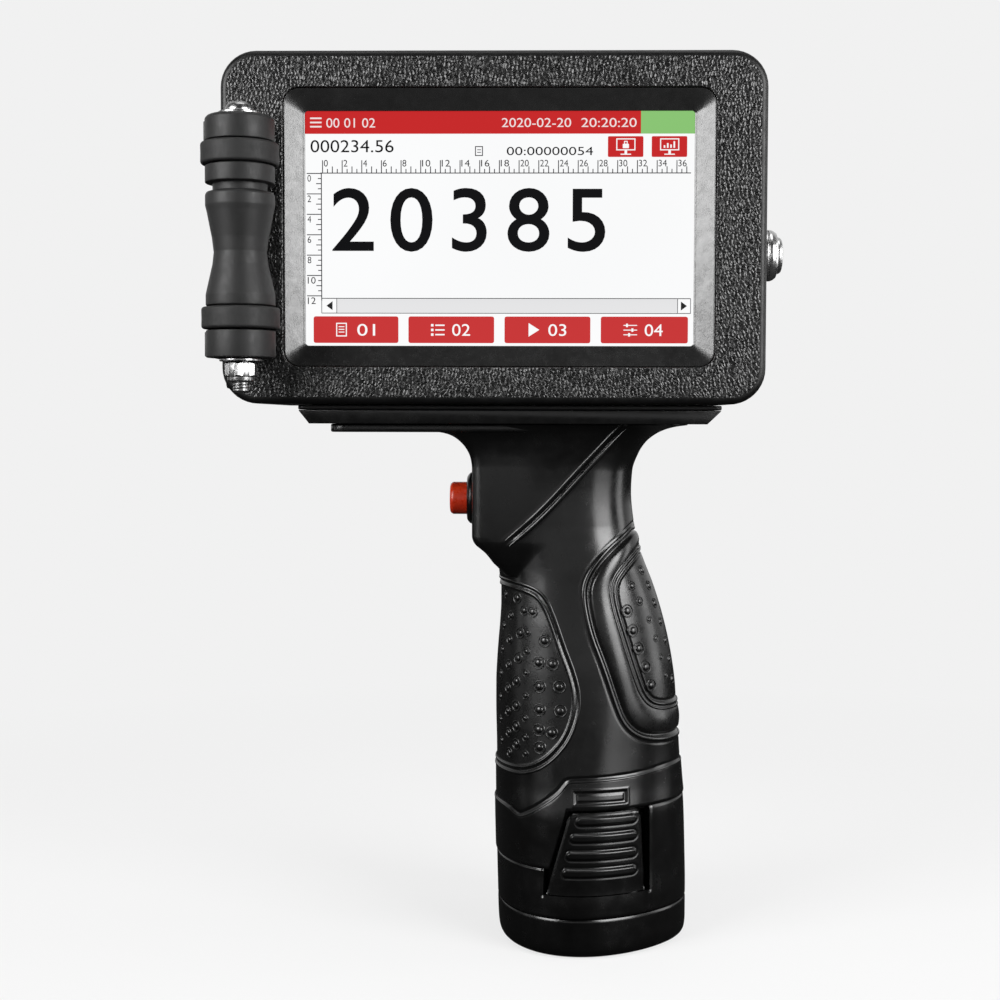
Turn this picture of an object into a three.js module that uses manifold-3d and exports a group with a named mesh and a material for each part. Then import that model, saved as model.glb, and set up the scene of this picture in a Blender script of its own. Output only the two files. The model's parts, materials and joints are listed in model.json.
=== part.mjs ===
// Handheld date-code inkjet printer: a screen head on a pistol grip with a slide-out battery.
// Millimetres. X runs fore and aft (the print side faces -X), Y runs across (the screen faces -Y), Z is up.
// The origin is the middle of the battery's flat base.
import * as THREE from "three";
import { mergeVertices } from "three/addons/utils/BufferGeometryUtils.js";
import Module from "manifold-3d";

const wasm = await Module();
wasm.setup();

// ---- Driving dimensions ----
const GAP = 0.3; // clearance between touching pieces

const head = { width: 151, height: 97.2, depth: 64, corner: 10, wall: 2.5, centreX: -29.2, bottom: 157.4 };
head.left = head.centreX - head.width / 2;
head.right = head.centreX + head.width / 2;
head.top = head.bottom + head.height;
head.centreZ = (head.bottom + head.top) / 2;
head.front = -head.depth / 2;
head.back = head.depth / 2;
head.seam = 20; // Y of the joint between the front housing and the rear cover
head.edge = 1.6; // rounding of the front and rear edges
head.faceWall = 4.5; // thickness of the wall around the screen

const screen = { width: 108, height: 64.8, centreX: -27.6, centreZ: 206, corner: 1 };
const recess = { width: 119.4, height: 76.6, corner: 4.5, depth: 2.6, lip: 0.5 };
const glass = { width: 114, height: 70.8, thickness: 1.6 };
const lcd = { width: 112, height: 69, thickness: 3 };

const adapter = { left: -85.5, right: 36, depth: 54, thickness: 5.2, chamfer: 3.6 };
adapter.top = head.bottom - GAP;
adapter.bottom = adapter.top - adapter.thickness;

const flange = { left: -76, right: 24, depth: 46, thickness: 2.2 };
flange.top = adapter.bottom - GAP;
flange.bottom = flange.top - flange.thickness;

const handleWall = 2.5;
const triggerZ = 129.8; // height of the trigger's axis
const triggerFace = -35.6; // X of the flat face that holds the trigger

const batteryTop = 42.2; // parting height behind the latch
const batteryStep = 25.2; // parting height ahead of the latch
const baseTop = 11.3; // parting height of the battery's bottom cover

const cell = { radius: 9.2, length: 65, bottom: 5.5 };
const tower = { front: -23, back: 18, half: 18.9, wall: 1.3, corner: 11, top: 73.5 };

const roller = { x: -97, y: 44, tyre: 10.5, collar: 9.3, waist: 7.1, bore: 2.8, axle: 2.4 };
// Heights along the roller's axle, from the bottom up.
const stack = { stud: 160.2, nut: 163, washer: 168.5, lugLow: 169.6, lugLowTop: 176.9, core: 177.2, coreTop: 227,
  lugHigh: 227.3, lugHighTop: 234.2, headTop: 238.2 };

const cartridge = { front: -93, back: -28, bottom: 171, top: 241.2, half: 10.7, nose: -105.7, noseLow: 175,
  noseHigh: 203, noseHalf: 9.5 };

// ---- Materials ----
function plastic(color, roughness, metalness = 0) {
  return new THREE.MeshStandardMaterial({ color, roughness, metalness });
}
const leatherPaint = plastic(0x1b1b1c, 0.55);
const bezelPlastic = plastic(0x2a2a2b, 0.35);
const glossBlack = plastic(0x0c0c0d, 0.25);
const gripRubber = plastic(0x1a1a1b, 0.6);
const rollerPlastic = plastic(0x3a3a3b, 0.5);
const tyreRubber = plastic(0x303031, 0.7);
const steel = plastic(0xc8c8c8, 0.2, 1);
const anodised = plastic(0x2c2c2e, 0.45, 0.6);
const glassDark = plastic(0xe8ecee, 0.08);
const boardGreen = plastic(0x1c5a34, 0.5);
const redPlastic = plastic(0xc0321a, 0.35);
const darkPlastic = plastic(0x222224, 0.5);
const copper = plastic(0xc08a3c, 0.3, 1);
const cellWrap = plastic(0x2b5fa8, 0.4);

// ---- Solids ----
const deg = Math.PI / 180;

// A closed geometry as a solid that can be cut and joined.
function solid(geometry) {
  const bare = geometry.index ? geometry.toNonIndexed() : geometry.clone();
  bare.deleteAttribute("normal");
  bare.deleteAttribute("uv");
  const merged = mergeVertices(bare, 1e-3);
  return new wasm.Manifold(
    new wasm.Mesh({
      numProp: 3,
      vertProperties: merged.attributes.position.array,
      triVerts: new Uint32Array(merged.index.array),
    }),
  );
}

// A solid back as a geometry with flat faces.
function geometryOf(body) {
  const mesh = body.getMesh();
  const geometry = new THREE.BufferGeometry();
  geometry.setAttribute("position", new THREE.BufferAttribute(mesh.vertProperties, 3));
  geometry.setIndex(new THREE.BufferAttribute(mesh.triVerts, 1));
  const flat = geometry.toNonIndexed();
  flat.computeVertexNormals();
  return flat;
}

// A box from its low and high corners.
function box([x0, y0, z0], [x1, y1, z1]) {
  const made = new THREE.BoxGeometry(x1 - x0, y1 - y0, z1 - z0);
  made.translate((x0 + x1) / 2, (y0 + y1) / 2, (z0 + z1) / 2);
  return made;
}

function roundedRect(cx, cz, width, height, radius) {
  const x0 = cx - width / 2;
  const x1 = cx + width / 2;
  const z0 = cz - height / 2;
  const z1 = cz + height / 2;
  const shape = new THREE.Shape();
  shape.moveTo(x0 + radius, z0);
  shape.lineTo(x1 - radius, z0);
  shape.absarc(x1 - radius, z0 + radius, radius, -90 * deg, 0);
  shape.lineTo(x1, z1 - radius);
  shape.absarc(x1 - radius, z1 - radius, radius, 0, 90 * deg);
  shape.lineTo(x0 + radius, z1);
  shape.absarc(x0 + radius, z1 - radius, radius, 90 * deg, 180 * deg);
  shape.lineTo(x0, z0 + radius);
  shape.absarc(x0 + radius, z0 + radius, radius, 180 * deg, 270 * deg);
  return shape;
}

function polygon(points) {
  return new THREE.Shape(points.map(([x, z]) => new THREE.Vector2(x, z)));
}

// A smooth closed outline through a few points.
function blob(points, divisions) {
  const curve = new THREE.CatmullRomCurve3(points.map(([x, z]) => new THREE.Vector3(x, z, 0)), true);
  return new THREE.Shape(curve.getSpacedPoints(divisions).slice(0, -1).map((p) => new THREE.Vector2(p.x, p.y)));
}

// A shape drawn in X and Z, extruded across from y0 to y1. A bevel rounds both of its rims.
function across(shape, y0, y1, bevel = 0, curveSegments = 3) {
  const made = new THREE.ExtrudeGeometry(shape, {
    depth: y1 - y0 - 2 * bevel,
    curveSegments,
    bevelEnabled: bevel > 0,
    bevelSize: bevel,
    bevelOffset: -bevel,
    bevelThickness: bevel,
    bevelSegments: 1,
  });
  made.rotateX(90 * deg);
  made.translate(0, y1 - bevel, 0);
  return made;
}

// A shape drawn in X and Y, extruded up from z0 to z1.
function upright(shape, z0, z1) {
  const made = new THREE.ExtrudeGeometry(shape, { depth: z1 - z0, curveSegments: 3, bevelEnabled: false });
  made.translate(0, 0, z0);
  return made;
}

// A turned piece on the Z axis, from [radius, height] points that run up its outside.
function turned(points, segments = 12) {
  const made = new THREE.LatheGeometry(points.map(([r, h]) => new THREE.Vector2(r, h)), segments);
  made.rotateX(90 * deg);
  return made;
}

// A turned tube on the Z axis: its outside profile, then a straight bore back down.
function turnedTube(points, bore, segments = 12) {
  const low = points[0];
  const high = points[points.length - 1];
  return turned([[bore, low[1]], ...points, [bore, high[1]], [bore, low[1]]], segments);
}

// The same turned piece with its axis along +X or along +Y.
function alongX(geometry) {
  return geometry.rotateY(90 * deg);
}
function alongY(geometry) {
  return geometry.rotateX(-90 * deg);
}

function rod(radius, from, to, segments = 12) {
  return turned([[0, from], [radius, from], [radius, to], [0, to]], segments);
}

// A hexagonal bar, as wide across its flats as asked.
function hex(flats, from, to) {
  const radius = flats / Math.sqrt(3);
  return turned([[0, from], [radius, from], [radius, to], [0, to]], 6);
}

// Rings of equal point counts, joined from one to the next and capped at both ends.
function loft(rings) {
  const count = rings[0].length;
  const positions = rings.flat(2);
  const index = [];
  for (let level = 0; level + 1 < rings.length; level++) {
    for (let i = 0; i < count; i++) {
      const a = level * count + i;
      const b = level * count + ((i + 1) % count);
      index.push(a, b, b + count, a, b + count, a + count);
    }
  }
  for (const level of [0, rings.length - 1]) {
    const ring = rings[level];
    const middle = positions.length / 3;
    for (const axis of [0, 1, 2]) positions.push(ring.reduce((sum, p) => sum + p[axis], 0) / count);
    for (let i = 0; i < count; i++) {
      const a = level * count + i;
      const b = level * count + ((i + 1) % count);
      index.push(...(level ? [middle, a, b] : [middle, b, a]));
    }
  }
  const made = new THREE.BufferGeometry();
  made.setAttribute("position", new THREE.Float32BufferAttribute(positions, 3));
  made.setIndex(index);
  return made;
}

// ---- The model ----
const printer = new THREE.Group();
function add(name, geometry, material, parent = printer) {
  const mesh = new THREE.Mesh(geometry.isBufferGeometry ? geometry : geometryOf(geometry), material);
  mesh.name = name;
  parent.add(mesh);
  return mesh;
}

// ---- Head: housing, rear cover and screws ----
function headOutline(inset = 0) {
  return roundedRect(head.centreX, head.centreZ, head.width - 2 * inset, head.height - 2 * inset, head.corner - inset);
}
const screwInset = 6.4; // head screws from the head's edges
const screwPlaces = [
  [head.left + screwInset, head.bottom + screwInset],
  [head.right - screwInset, head.bottom + screwInset],
  [head.right - screwInset, head.top - screwInset],
  [head.left + screwInset, head.top - screwInset],
];
const power = { y: -19, z: 199.6, hole: 6.2 };
const usb = { y: 6, z: 186, width: 13.4, height: 6 };
const wireHole = { x: -12, radius: 6 };
const cartridgeWindow = { half: 11.4, bottom: 170.2, top: 242 };

function makeHousing() {
  let body = solid(across(headOutline(), head.front, head.seam, head.edge));
  const squareBack = solid(across(headOutline(), head.seam - 6, head.seam));
  body = body.add(squareBack);
  body = body.subtract(solid(across(headOutline(head.wall), head.front + head.faceWall, head.seam + 1)));
  for (const [x, z] of screwPlaces) {
    const post = alongY(rod(3.8, head.front + head.faceWall - 0.5, head.seam, 10)).translate(x, 0, z);
    const bore = alongY(rod(1.8, 2, head.seam + 1, 8)).translate(x, 0, z);
    body = body.add(solid(post)).subtract(solid(bore));
  }
  const opening = roundedRect(screen.centreX, screen.centreZ, recess.width, recess.height, recess.corner);
  body = body.subtract(solid(across(opening, head.front - 1, head.front + head.faceWall + 1)));
  const slot = box([head.left - 1, -cartridgeWindow.half, cartridgeWindow.bottom],
    [head.left + head.wall + 1, cartridgeWindow.half, cartridgeWindow.top]);
  body = body.subtract(solid(slot));
  const powerHole = alongX(rod(power.hole, head.right - head.wall - 1, head.right + 1, 20)).translate(0, power.y, power.z);
  body = body.subtract(solid(powerHole));
  const usbHole = box([head.right - head.wall - 1, usb.y - usb.width / 2 - GAP, usb.z - usb.height / 2 - GAP],
    [head.right + 1, usb.y + usb.width / 2 + GAP, usb.z + usb.height / 2 + GAP]);
  body = body.subtract(solid(usbHole));
  const wires = rod(wireHole.radius, head.bottom - 1, head.bottom + head.wall + 1, 16).translate(wireHole.x, 0, 0);
  return body.subtract(solid(wires));
}
add("front_housing", makeHousing(), leatherPaint);

function makeRearCover() {
  let body = solid(across(headOutline(), head.seam + GAP, head.back, head.edge));
  body = body.add(solid(across(headOutline(), head.seam + GAP, head.seam + 6)));
  body = body.subtract(solid(across(headOutline(head.wall), head.seam - 1, head.back - head.wall)));
  for (const [x, z] of screwPlaces) {
    const post = alongY(rod(4.4, head.seam + GAP, head.back - 1, 10)).translate(x, 0, z);
    const bore = alongY(rod(1.8, head.seam - 1, head.back + 1, 8)).translate(x, 0, z);
    const counterbore = alongY(rod(3.4, head.back - 2.4, head.back + 1, 12)).translate(x, 0, z);
    body = body.add(solid(post)).subtract(solid(bore)).subtract(solid(counterbore));
  }
  return body;
}
add("rear_cover", makeRearCover(), leatherPaint);

screwPlaces.forEach(([x, z], i) => {
  const screw = turned([[0, 4], [1.5, 4], [1.5, head.back - 2.1], [3, head.back - 2.1], [3, head.back - 0.9],
    [2, head.back - 0.3], [0, head.back - 0.3]], 10);
  add(`rear_cover_screw_${i + 1}`, alongY(screw).translate(x, 0, z), steel);
});

// ---- Screen: sloped bezel, touch glass and display ----
// The order is reversed so that a loft towards +Y faces outwards.
function ringXZ(shape, y) {
  return shape.extractPoints(3).shape.map((p) => [p.x, y, p.y]).reverse();
}
function makeBezel() {
  const front = head.front + 0.2;
  const lipFront = front + recess.depth;
  const wallBack = head.front + head.faceWall;
  const plug = roundedRect(screen.centreX, screen.centreZ, recess.width - 2 * GAP, recess.height - 2 * GAP,
    recess.corner - GAP);
  const backing = roundedRect(screen.centreX, screen.centreZ, recess.width + 2, recess.height + 7, recess.corner);
  const pocket = roundedRect(screen.centreX, screen.centreZ, glass.width + 1, glass.height + 1, 1.5);
  const slopeInner = roundedRect(screen.centreX, screen.centreZ, screen.width, screen.height, screen.corner);
  // The sloped faces run from the recess's rim (0) to the screen (1), and are cut from just outside the rim.
  const slopeRing = (along) => {
    const width = THREE.MathUtils.lerp(recess.width - 1.6, screen.width, along);
    const height = THREE.MathUtils.lerp(recess.height - 1.6, screen.height, along);
    const radius = THREE.MathUtils.lerp(recess.corner - 0.6, screen.corner, along);
    return ringXZ(roundedRect(screen.centreX, screen.centreZ, width, height, radius), front + recess.depth * along);
  };
  let body = solid(across(plug, front, wallBack + 1));
  body = body.add(solid(across(backing, wallBack + GAP, wallBack + GAP + 1.5)));
  body = body.subtract(solid(across(pocket, lipFront + recess.lip, wallBack + 4)));
  const cone = loft([slopeRing(-0.2), slopeRing(1), ringXZ(slopeInner, wallBack + 4)]);
  return body.subtract(solid(cone));
}
const glassFront = head.front + 0.2 + recess.depth + recess.lip + GAP;
const glassShape = roundedRect(screen.centreX, screen.centreZ, glass.width, glass.height, 1.2);
const lcdShape = roundedRect(screen.centreX, screen.centreZ, lcd.width, lcd.height, 0.8);
const lcdFront = glassFront + glass.thickness + GAP;
add("screen_bezel", makeBezel(), bezelPlastic);
add("touch_glass", across(glassShape, glassFront, glassFront + glass.thickness), glassDark);
add("lcd_module", across(lcdShape, lcdFront, lcdFront + lcd.thickness), darkPlastic);

// ---- Electronics in the head ----
function joined(geometries) {
  return geometries.map(solid).reduce((a, b) => a.add(b));
}
const boardY = lcdFront + lcd.thickness + 3.2;
add("main_board", joined([
  box([-84, boardY, 168], [30, boardY + 1.6, 246]),
  box([-50, boardY + 1.5, 200], [-30, boardY + 3.4, 220]),
  box([-20, boardY + 1.5, 196], [-8, boardY + 3, 214]),
  box([14, boardY + 1.5, 176], [28, boardY + 6.6, 184]),
  box([-76, boardY + 1.5, 228], [-56, boardY + 6, 235]),
  rod(4, boardY + 1.5, boardY + 7.2, 12).rotateX(-90 * deg).translate(4, 0, 232),
]), boardGreen);

// ---- Ink cartridge and its carriage ----
const carriage = { front: head.left + head.wall + GAP, back: cartridge.back + 3.5, half: 13.2, bottom: 168.2, top: 243.8 };
function makeCarriage() {
  let body = solid(box([carriage.front, -carriage.half, carriage.bottom], [carriage.back, carriage.half, carriage.top]));
  const well = box([carriage.front - 1, -cartridgeWindow.half, cartridgeWindow.bottom],
    [cartridge.back + 0.8, cartridgeWindow.half, cartridgeWindow.top]);
  const contactSlot = box([-90, -7, carriage.bottom - 1], [-72, 7, cartridgeWindow.bottom + 1]);
  const flexSlot = box([-60, -carriage.half - 1, 180], [-40, -cartridgeWindow.half + 1, 230]);
  return body.subtract(solid(well)).subtract(solid(contactSlot)).subtract(solid(flexSlot));
}
add("cartridge_carriage", makeCarriage(), darkPlastic);
add("contact_board", joined([
  box([-93, -9, 164], [-66, 9, 165.4]),
  box([-89, -6, 165.3], [-73, 6, cartridge.bottom - GAP]),
]), boardGreen);

const inkBody = joined([
  box([cartridge.front, -cartridge.half, cartridge.bottom], [cartridge.back, cartridge.half, cartridge.top]),
  box([cartridge.nose, -cartridge.noseHalf, cartridge.noseLow], [cartridge.front + 1, cartridge.noseHalf, cartridge.noseHigh]),
]);
const pullSlot = box([cartridge.front - 1, -6, 232], [cartridge.front + 2.4, 6, 236]);
add("ink_cartridge", inkBody.subtract(solid(pullSlot)), darkPlastic);
add("nozzle_plate", box([cartridge.nose - GAP - 0.4, -4.6, 180], [cartridge.nose - GAP, 4.6, 198]), copper);

// ---- Print side: guide plate and roller brackets ----
const plate = { outer: head.left - 2.2, inner: head.left - GAP };
const guide = { half: 13.6, bottom: 162, top: 250 };
function makeGuidePlate() {
  const body = solid(box([plate.outer, -guide.half, guide.bottom], [plate.inner, guide.half, guide.top]));
  const slot = box([plate.outer - 1, -cartridgeWindow.half, cartridgeWindow.bottom],
    [plate.inner + 1, cartridgeWindow.half, cartridgeWindow.top]);
  return body.subtract(solid(slot));
}
add("guide_plate", makeGuidePlate(), anodised);

// A bracket: a web beside the guide plate and two arms that end in round lugs on the roller's axle.
function makeBracket(side) {
  const y = (a, b) => [Math.min(side * a, side * b), Math.max(side * a, side * b)];
  const [webLow, webHigh] = y(guide.half + GAP, 21);
  const [armLow, armHigh] = y(20, roller.y);
  const parts = [box([plate.outer, webLow, stack.lugLow], [plate.inner, webHigh, stack.lugHighTop - 3])];
  const lugs = [[stack.lugLow, stack.lugLowTop, 0], [stack.lugHigh, stack.lugHighTop, 2.2]];
  for (const [low, high, cone] of lugs) {
    const top = cone ? [[roller.collar, high - cone], [6.6, high]] : [[roller.collar, high]];
    parts.push(box([plate.outer, armLow, low], [plate.inner, armHigh, high - cone]));
    const lug = turned([[0, low], [roller.collar, low], ...top, [0, high]]);
    parts.push(lug.translate(roller.x, side * roller.y, 0));
  }
  const bore = rod(roller.bore, stack.stud, stack.headTop, 16).translate(roller.x, side * roller.y, 0);
  return joined(parts).subtract(solid(bore));
}

// ---- Rollers: spool, tyres, axle bolt, washers and lock nut ----
function makeRoller(name, side) {
  const place = new THREE.Group();
  place.position.set(roller.x, side * roller.y, 0);
  printer.add(place);
  const { tyre, collar, waist, bore, axle } = roller;
  const seat = collar - 1.3; // radius under each tyre
  const { core, coreTop } = stack;
  const spool = turnedTube([
    [seat, core], [seat, core + 6.3], [collar, core + 6.3], [collar - 0.1, 187], [waist + 0.3, 194.6],
    [waist, 198], [waist + 0.4, 201.6], [8.9, 209], [collar, 212.6], [7.3, 214.2], [7.3, 216.1], [collar, 216.4],
    [collar, 220.8], [seat, 220.8], [seat, coreTop],
  ], bore);
  add(`${name}_roller_spool`, spool, rollerPlastic, place);
  const seatGap = seat + GAP;
  for (const [part, low] of [["lower", core + 0.1], ["upper", 221.1]]) {
    const ring = turnedTube([[tyre - 0.4, low], [tyre, low + 0.6], [tyre, low + 5.2], [tyre - 0.4, low + 5.8]], seatGap);
    add(`${name}_tyre_${part}`, ring, tyreRubber, place);
  }
  const headLow = stack.lugHighTop + 1.1;
  add(`${name}_axle_bolt`, turned([
    [0, stack.stud], [axle - 0.4, stack.stud], [axle, stack.stud + 0.5], [axle, headLow], [3.9, headLow],
    [3.9, headLow + 0.6], [3.2, headLow + 2], [1.8, headLow + 2.8], [0, headLow + 2.9],
  ], 12), steel, place);
  const washers = [["upper", stack.lugHighTop + GAP / 2, 5.8], ["lower", stack.washer + GAP / 2, 5.8]];
  for (const [part, low, radius] of washers) {
    add(`${name}_washer_${part}`, turnedTube([[radius, low], [radius, low + 0.75]], roller.bore), steel, place);
  }
  const nut = solid(hex(8, stack.nut + 1.4, stack.washer - GAP / 2)).add(solid(rod(3.7, stack.nut, stack.nut + 1.6, 16)));
  add(`${name}_lock_nut`, nut.subtract(solid(rod(roller.bore, stack.stud, stack.washer + 1))), steel, place);
}
for (const [name, side] of [["front", -1], ["rear", 1]]) {
  add(`${name}_roller_bracket`, makeBracket(side), anodised);
  makeRoller(name, side);
}

// ---- Power switch and data socket on the rear end of the head ----
const powerFace = head.right + 0.2;
const powerBody = alongX(turnedTube([
  [5.9, powerFace - 16], [5.9, powerFace], [7.3, powerFace], [7.3, powerFace + 2.2], [6.9, powerFace + 3.4],
  [6.1, powerFace + 3.8],
], 5.5));
const powerCap = alongX(turned([
  [0, powerFace - 8], [5.2, powerFace - 8], [5.2, powerFace + 4.3], [4.6, powerFace + 5], [2.8, powerFace + 5.5],
  [0, powerFace + 5.7],
], 20));
add("power_switch_body", powerBody.translate(0, power.y, power.z), steel);
add("power_button", powerCap.translate(0, power.y, power.z), steel);

const usbSize = [usb.width / 2, usb.height / 2];
const usbShell = solid(box([head.right - 14, usb.y - usbSize[0], usb.z - usbSize[1]],
  [head.right - 0.2, usb.y + usbSize[0], usb.z + usbSize[1]]));
const usbMouth = solid(box([head.right - 11, usb.y - usbSize[0] + 0.6, usb.z - usbSize[1] + 0.6],
  [head.right + 1, usb.y + usbSize[0] - 0.6, usb.z + usbSize[1] - 0.6]));
const usbTongue = solid(box([head.right - 12, usb.y - 5.4, usb.z + 0.2], [head.right - 2, usb.y + 5.4, usb.z + 2]));
add("usb_socket", usbShell.subtract(usbMouth).add(usbTongue), steel);

// ---- Handle ----
// Each station: height, front edge, back edge, half depth, squareness, and how much the back is narrower.
const stations = [
  [0, -24, 24, 23.4, 3, 0.05],
  [1.2, -26.3, 26.3, 25.8, 3.1, 0.05],
  [4.5, -27.8, 27.9, 27.2, 3.2, 0.05],
  [24, -28.4, 28, 27.5, 3.3, 0.05],
  [42, -28.8, 27.4, 26.6, 3.2, 0.05],
  [54, -28.8, 26.2, 24.8, 3, 0.05],
  [76, -29.2, 25, 23.3, 2.7, 0.04],
  [92, -28.2, 22, 22.4, 2.6, 0.03],
  [104, -27.7, 18.4, 21.2, 2.6, 0],
  [114, -28.6, 14.6, 20, 2.7, 0],
  [124, -29.5, 11.9, 19.3, 2.8, 0],
  [136, -30, 11.1, 19.2, 2.9, 0],
  [143, -30, 13.4, 19.7, 3, 0],
  [146.6, -30, 16.4, 20.6, 3.2, 0],
  [flange.bottom + 0.2, -30, 21.4, 22, 3.5, 0],
];

// The handle's round section at one station, pulled in by a wall thickness.
function section([z, front, back, half, squareness, taper], inset, count = 16) {
  const middle = (front + back) / 2;
  const a = (back - front) / 2 - inset;
  const b = half - inset;
  return Array.from({ length: count }, (_, i) => {
    const angle = (i / count) * 2 * Math.PI;
    const c = Math.cos(angle);
    const s = Math.sin(angle);
    const x = Math.sign(c) * Math.abs(c) ** (2 / squareness);
    const y = Math.sign(s) * Math.abs(s) ** (2 / squareness);
    return [middle + a * x, b * y * (1 - taper * x), z];
  });
}
function handleLoft(inset, low, high) {
  const inside = stations.filter(([z]) => z > low && z < high);
  const at = (z) => {
    const next = stations.findIndex(([height]) => height >= z);
    const [a, b] = [stations[Math.max(next - 1, 0)], stations[Math.max(next, 1)]];
    const t = (z - a[0]) / (b[0] - a[0]);
    return a.map((value, i) => value + (b[i] - value) * t);
  };
  return solid(loft([at(low), ...inside, at(high)].map((station) => section(station, inset))));
}

// The part of the handle that belongs to the battery, drawn in X and Z and dropped by a wall thickness.
function batteryRegion(drop) {
  return solid(across(polygon([
    [-40, -10], [40, -10], [40, batteryTop - drop], [-8.6 + drop, batteryTop - drop],
    [-15 + drop, batteryStep - drop], [-40, batteryStep - drop],
  ]), -40, 40));
}

const frontGripOutline = [[-40, 106.4], [-22.4, 106.2], [-16.6, 102], [-12.8, 95], [-9.9, 84.5], [-7, 74], [-6.3, 67],
  [-8.6, 60], [-14.4, 54.6], [-22, 52.4], [-40, 52.4]];
const rearGripOutline = [[40, 116], [14.6, 113.6], [7.6, 109.2], [5.2, 103], [7.4, 92], [10.4, 82], [13, 75], [18, 71.4],
  [40, 69.6]];

function gripRegion(points, grow) {
  const middle = [points.reduce((s, p) => s + p[0], 0) / points.length, 84];
  const grown = points.map(([x, z]) => {
    const away = new THREE.Vector2(x - middle[0], z - middle[1]).normalize().multiplyScalar(grow);
    return [x + away.x, z + away.y];
  });
  return solid(across(polygon(grown), -40, 40));
}

const handleScrews = [[-22, 142], [3, 141], [-6, 110]];
function makeHandle() {
  const outline = new THREE.Shape();
  outline.moveTo(triggerFace, 119.4);
  outline.absarc(triggerFace + 2.6, 119.4, 2.6, 180 * deg, 270 * deg);
  outline.lineTo(-20, 114.5);
  outline.lineTo(4, 158);
  outline.lineTo(-46.2, 158);
  outline.absarc(-46.2, 139.2, 10.6, 90 * deg, 0, true);
  const tall = solid(across(outline, -18.6, 18.6, 1.6, 6));
  const block = tall.subtract(solid(box([-60, -30, flange.bottom + 0.2], [20, 30, 160])));
  const flangePlate = solid(upright(roundedRect((flange.left + flange.right) / 2, 0, flange.right - flange.left,
    flange.depth, 6), flange.bottom, flange.top));
  const roof = flange.bottom - 2.9; // underside of the handle's closed top
  let body = handleLoft(0, baseTop, flange.bottom + 0.2).add(block).add(flangePlate);
  body = body.subtract(handleLoft(handleWall, baseTop - 1, roof));
  body = body.subtract(solid(box([triggerFace + handleWall, -15.6, 121], [-20, 15.6, roof])));
  for (const [x, z] of handleScrews) {
    const boss = solid(alongY(rod(3.8, -22, 22, 8)).translate(x, 0, z));
    body = body.add(boss.intersect(handleLoft(0.2, 100, flange.bottom)));
  }
  for (const [x, z] of handleScrews) {
    const bore = alongY(rod(1.8, -14, 30, 8)).translate(x, 0, z);
    const counterbore = alongY(rod(3.3, 15.6, 30, 10)).translate(x, 0, z);
    body = body.subtract(solid(bore)).subtract(solid(counterbore));
  }
  const switchHole = alongX(rod(6.2, triggerFace - 2, triggerFace + 6, 20)).translate(0, 0, triggerZ);
  body = body.subtract(solid(switchHole));
  body = body.subtract(solid(rod(wireHole.radius, 140, 156, 16).translate(wireHole.x, 0, 0)));
  return body.subtract(batteryRegion(-GAP));
}
const handle = makeHandle();
const skin = handleLoft(0, 40, 125).subtract(handleLoft(1.5, 39, 126));
const frontPocket = gripRegion(frontGripOutline, 0).intersect(handleLoft(-1, 41, 124).subtract(handleLoft(1.5 + GAP, 39, 126)));
const rearPocket = gripRegion(rearGripOutline, 0).intersect(handleLoft(-1, 41, 124).subtract(handleLoft(1.5 + GAP, 39, 126)));
const pocketed = handle.subtract(frontPocket).subtract(rearPocket);
const sides = [["left", [-120, -80, -20], [80, -GAP / 2, 200]], ["right", [-120, GAP / 2, -20], [80, 80, 200]]];
for (const [name, low, high] of sides) {
  const side = solid(box(low, high));
  add(`handle_shell_${name}`, pocketed.intersect(side), glossBlack);
  add(`front_grip_${name}`, gripRegion(frontGripOutline, -GAP).intersect(skin).intersect(side), gripRubber);
  add(`rear_grip_${name}`, gripRegion(rearGripOutline, -GAP).intersect(skin).intersect(side), gripRubber);
}
handleScrews.forEach(([x, z], i) => {
  const screw = turned([[0, -11], [1.5, -11], [1.5, 15.9], [3, 15.9], [3, 17.2], [2, 17.9], [0, 17.9]], 10);
  add(`handle_screw_${i + 1}`, alongY(screw).translate(x, 0, z), steel);
});

// ---- Adapter plate between the head and the handle ----
function makeAdapter() {
  const { left, right, top, bottom, chamfer, depth } = adapter;
  const shape = polygon([[left, top], [left, bottom + chamfer], [left + chamfer * 0.8, bottom],
    [right - chamfer * 0.8, bottom], [right, bottom + chamfer], [right, top]]);
  const body = solid(across(shape, -depth / 2, depth / 2));
  return body.subtract(solid(rod(wireHole.radius, bottom - 1, top + 1, 16).translate(wireHole.x, 0, 0)));
}
add("adapter_plate", makeAdapter(), glossBlack);

// ---- Trigger ----
const triggerBody = alongX(turnedTube([
  [6.4, triggerFace - 1.9], [7.6, triggerFace - 1.2], [7.6, triggerFace - 0.2], [5.9, triggerFace - 0.2], [5.9, triggerFace + 20],
], 5.1));
const triggerCap = alongX(turned([
  [0, triggerFace - 7], [3.2, triggerFace - 6.9], [4.5, triggerFace - 6.5], [4.8, triggerFace - 6.1], [4.8, triggerFace + 9],
  [0, triggerFace + 9],
], 20));
add("trigger_switch_body", triggerBody.translate(0, 0, triggerZ), darkPlastic);
add("trigger_button", triggerCap.translate(0, 0, triggerZ), redPlastic);

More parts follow.
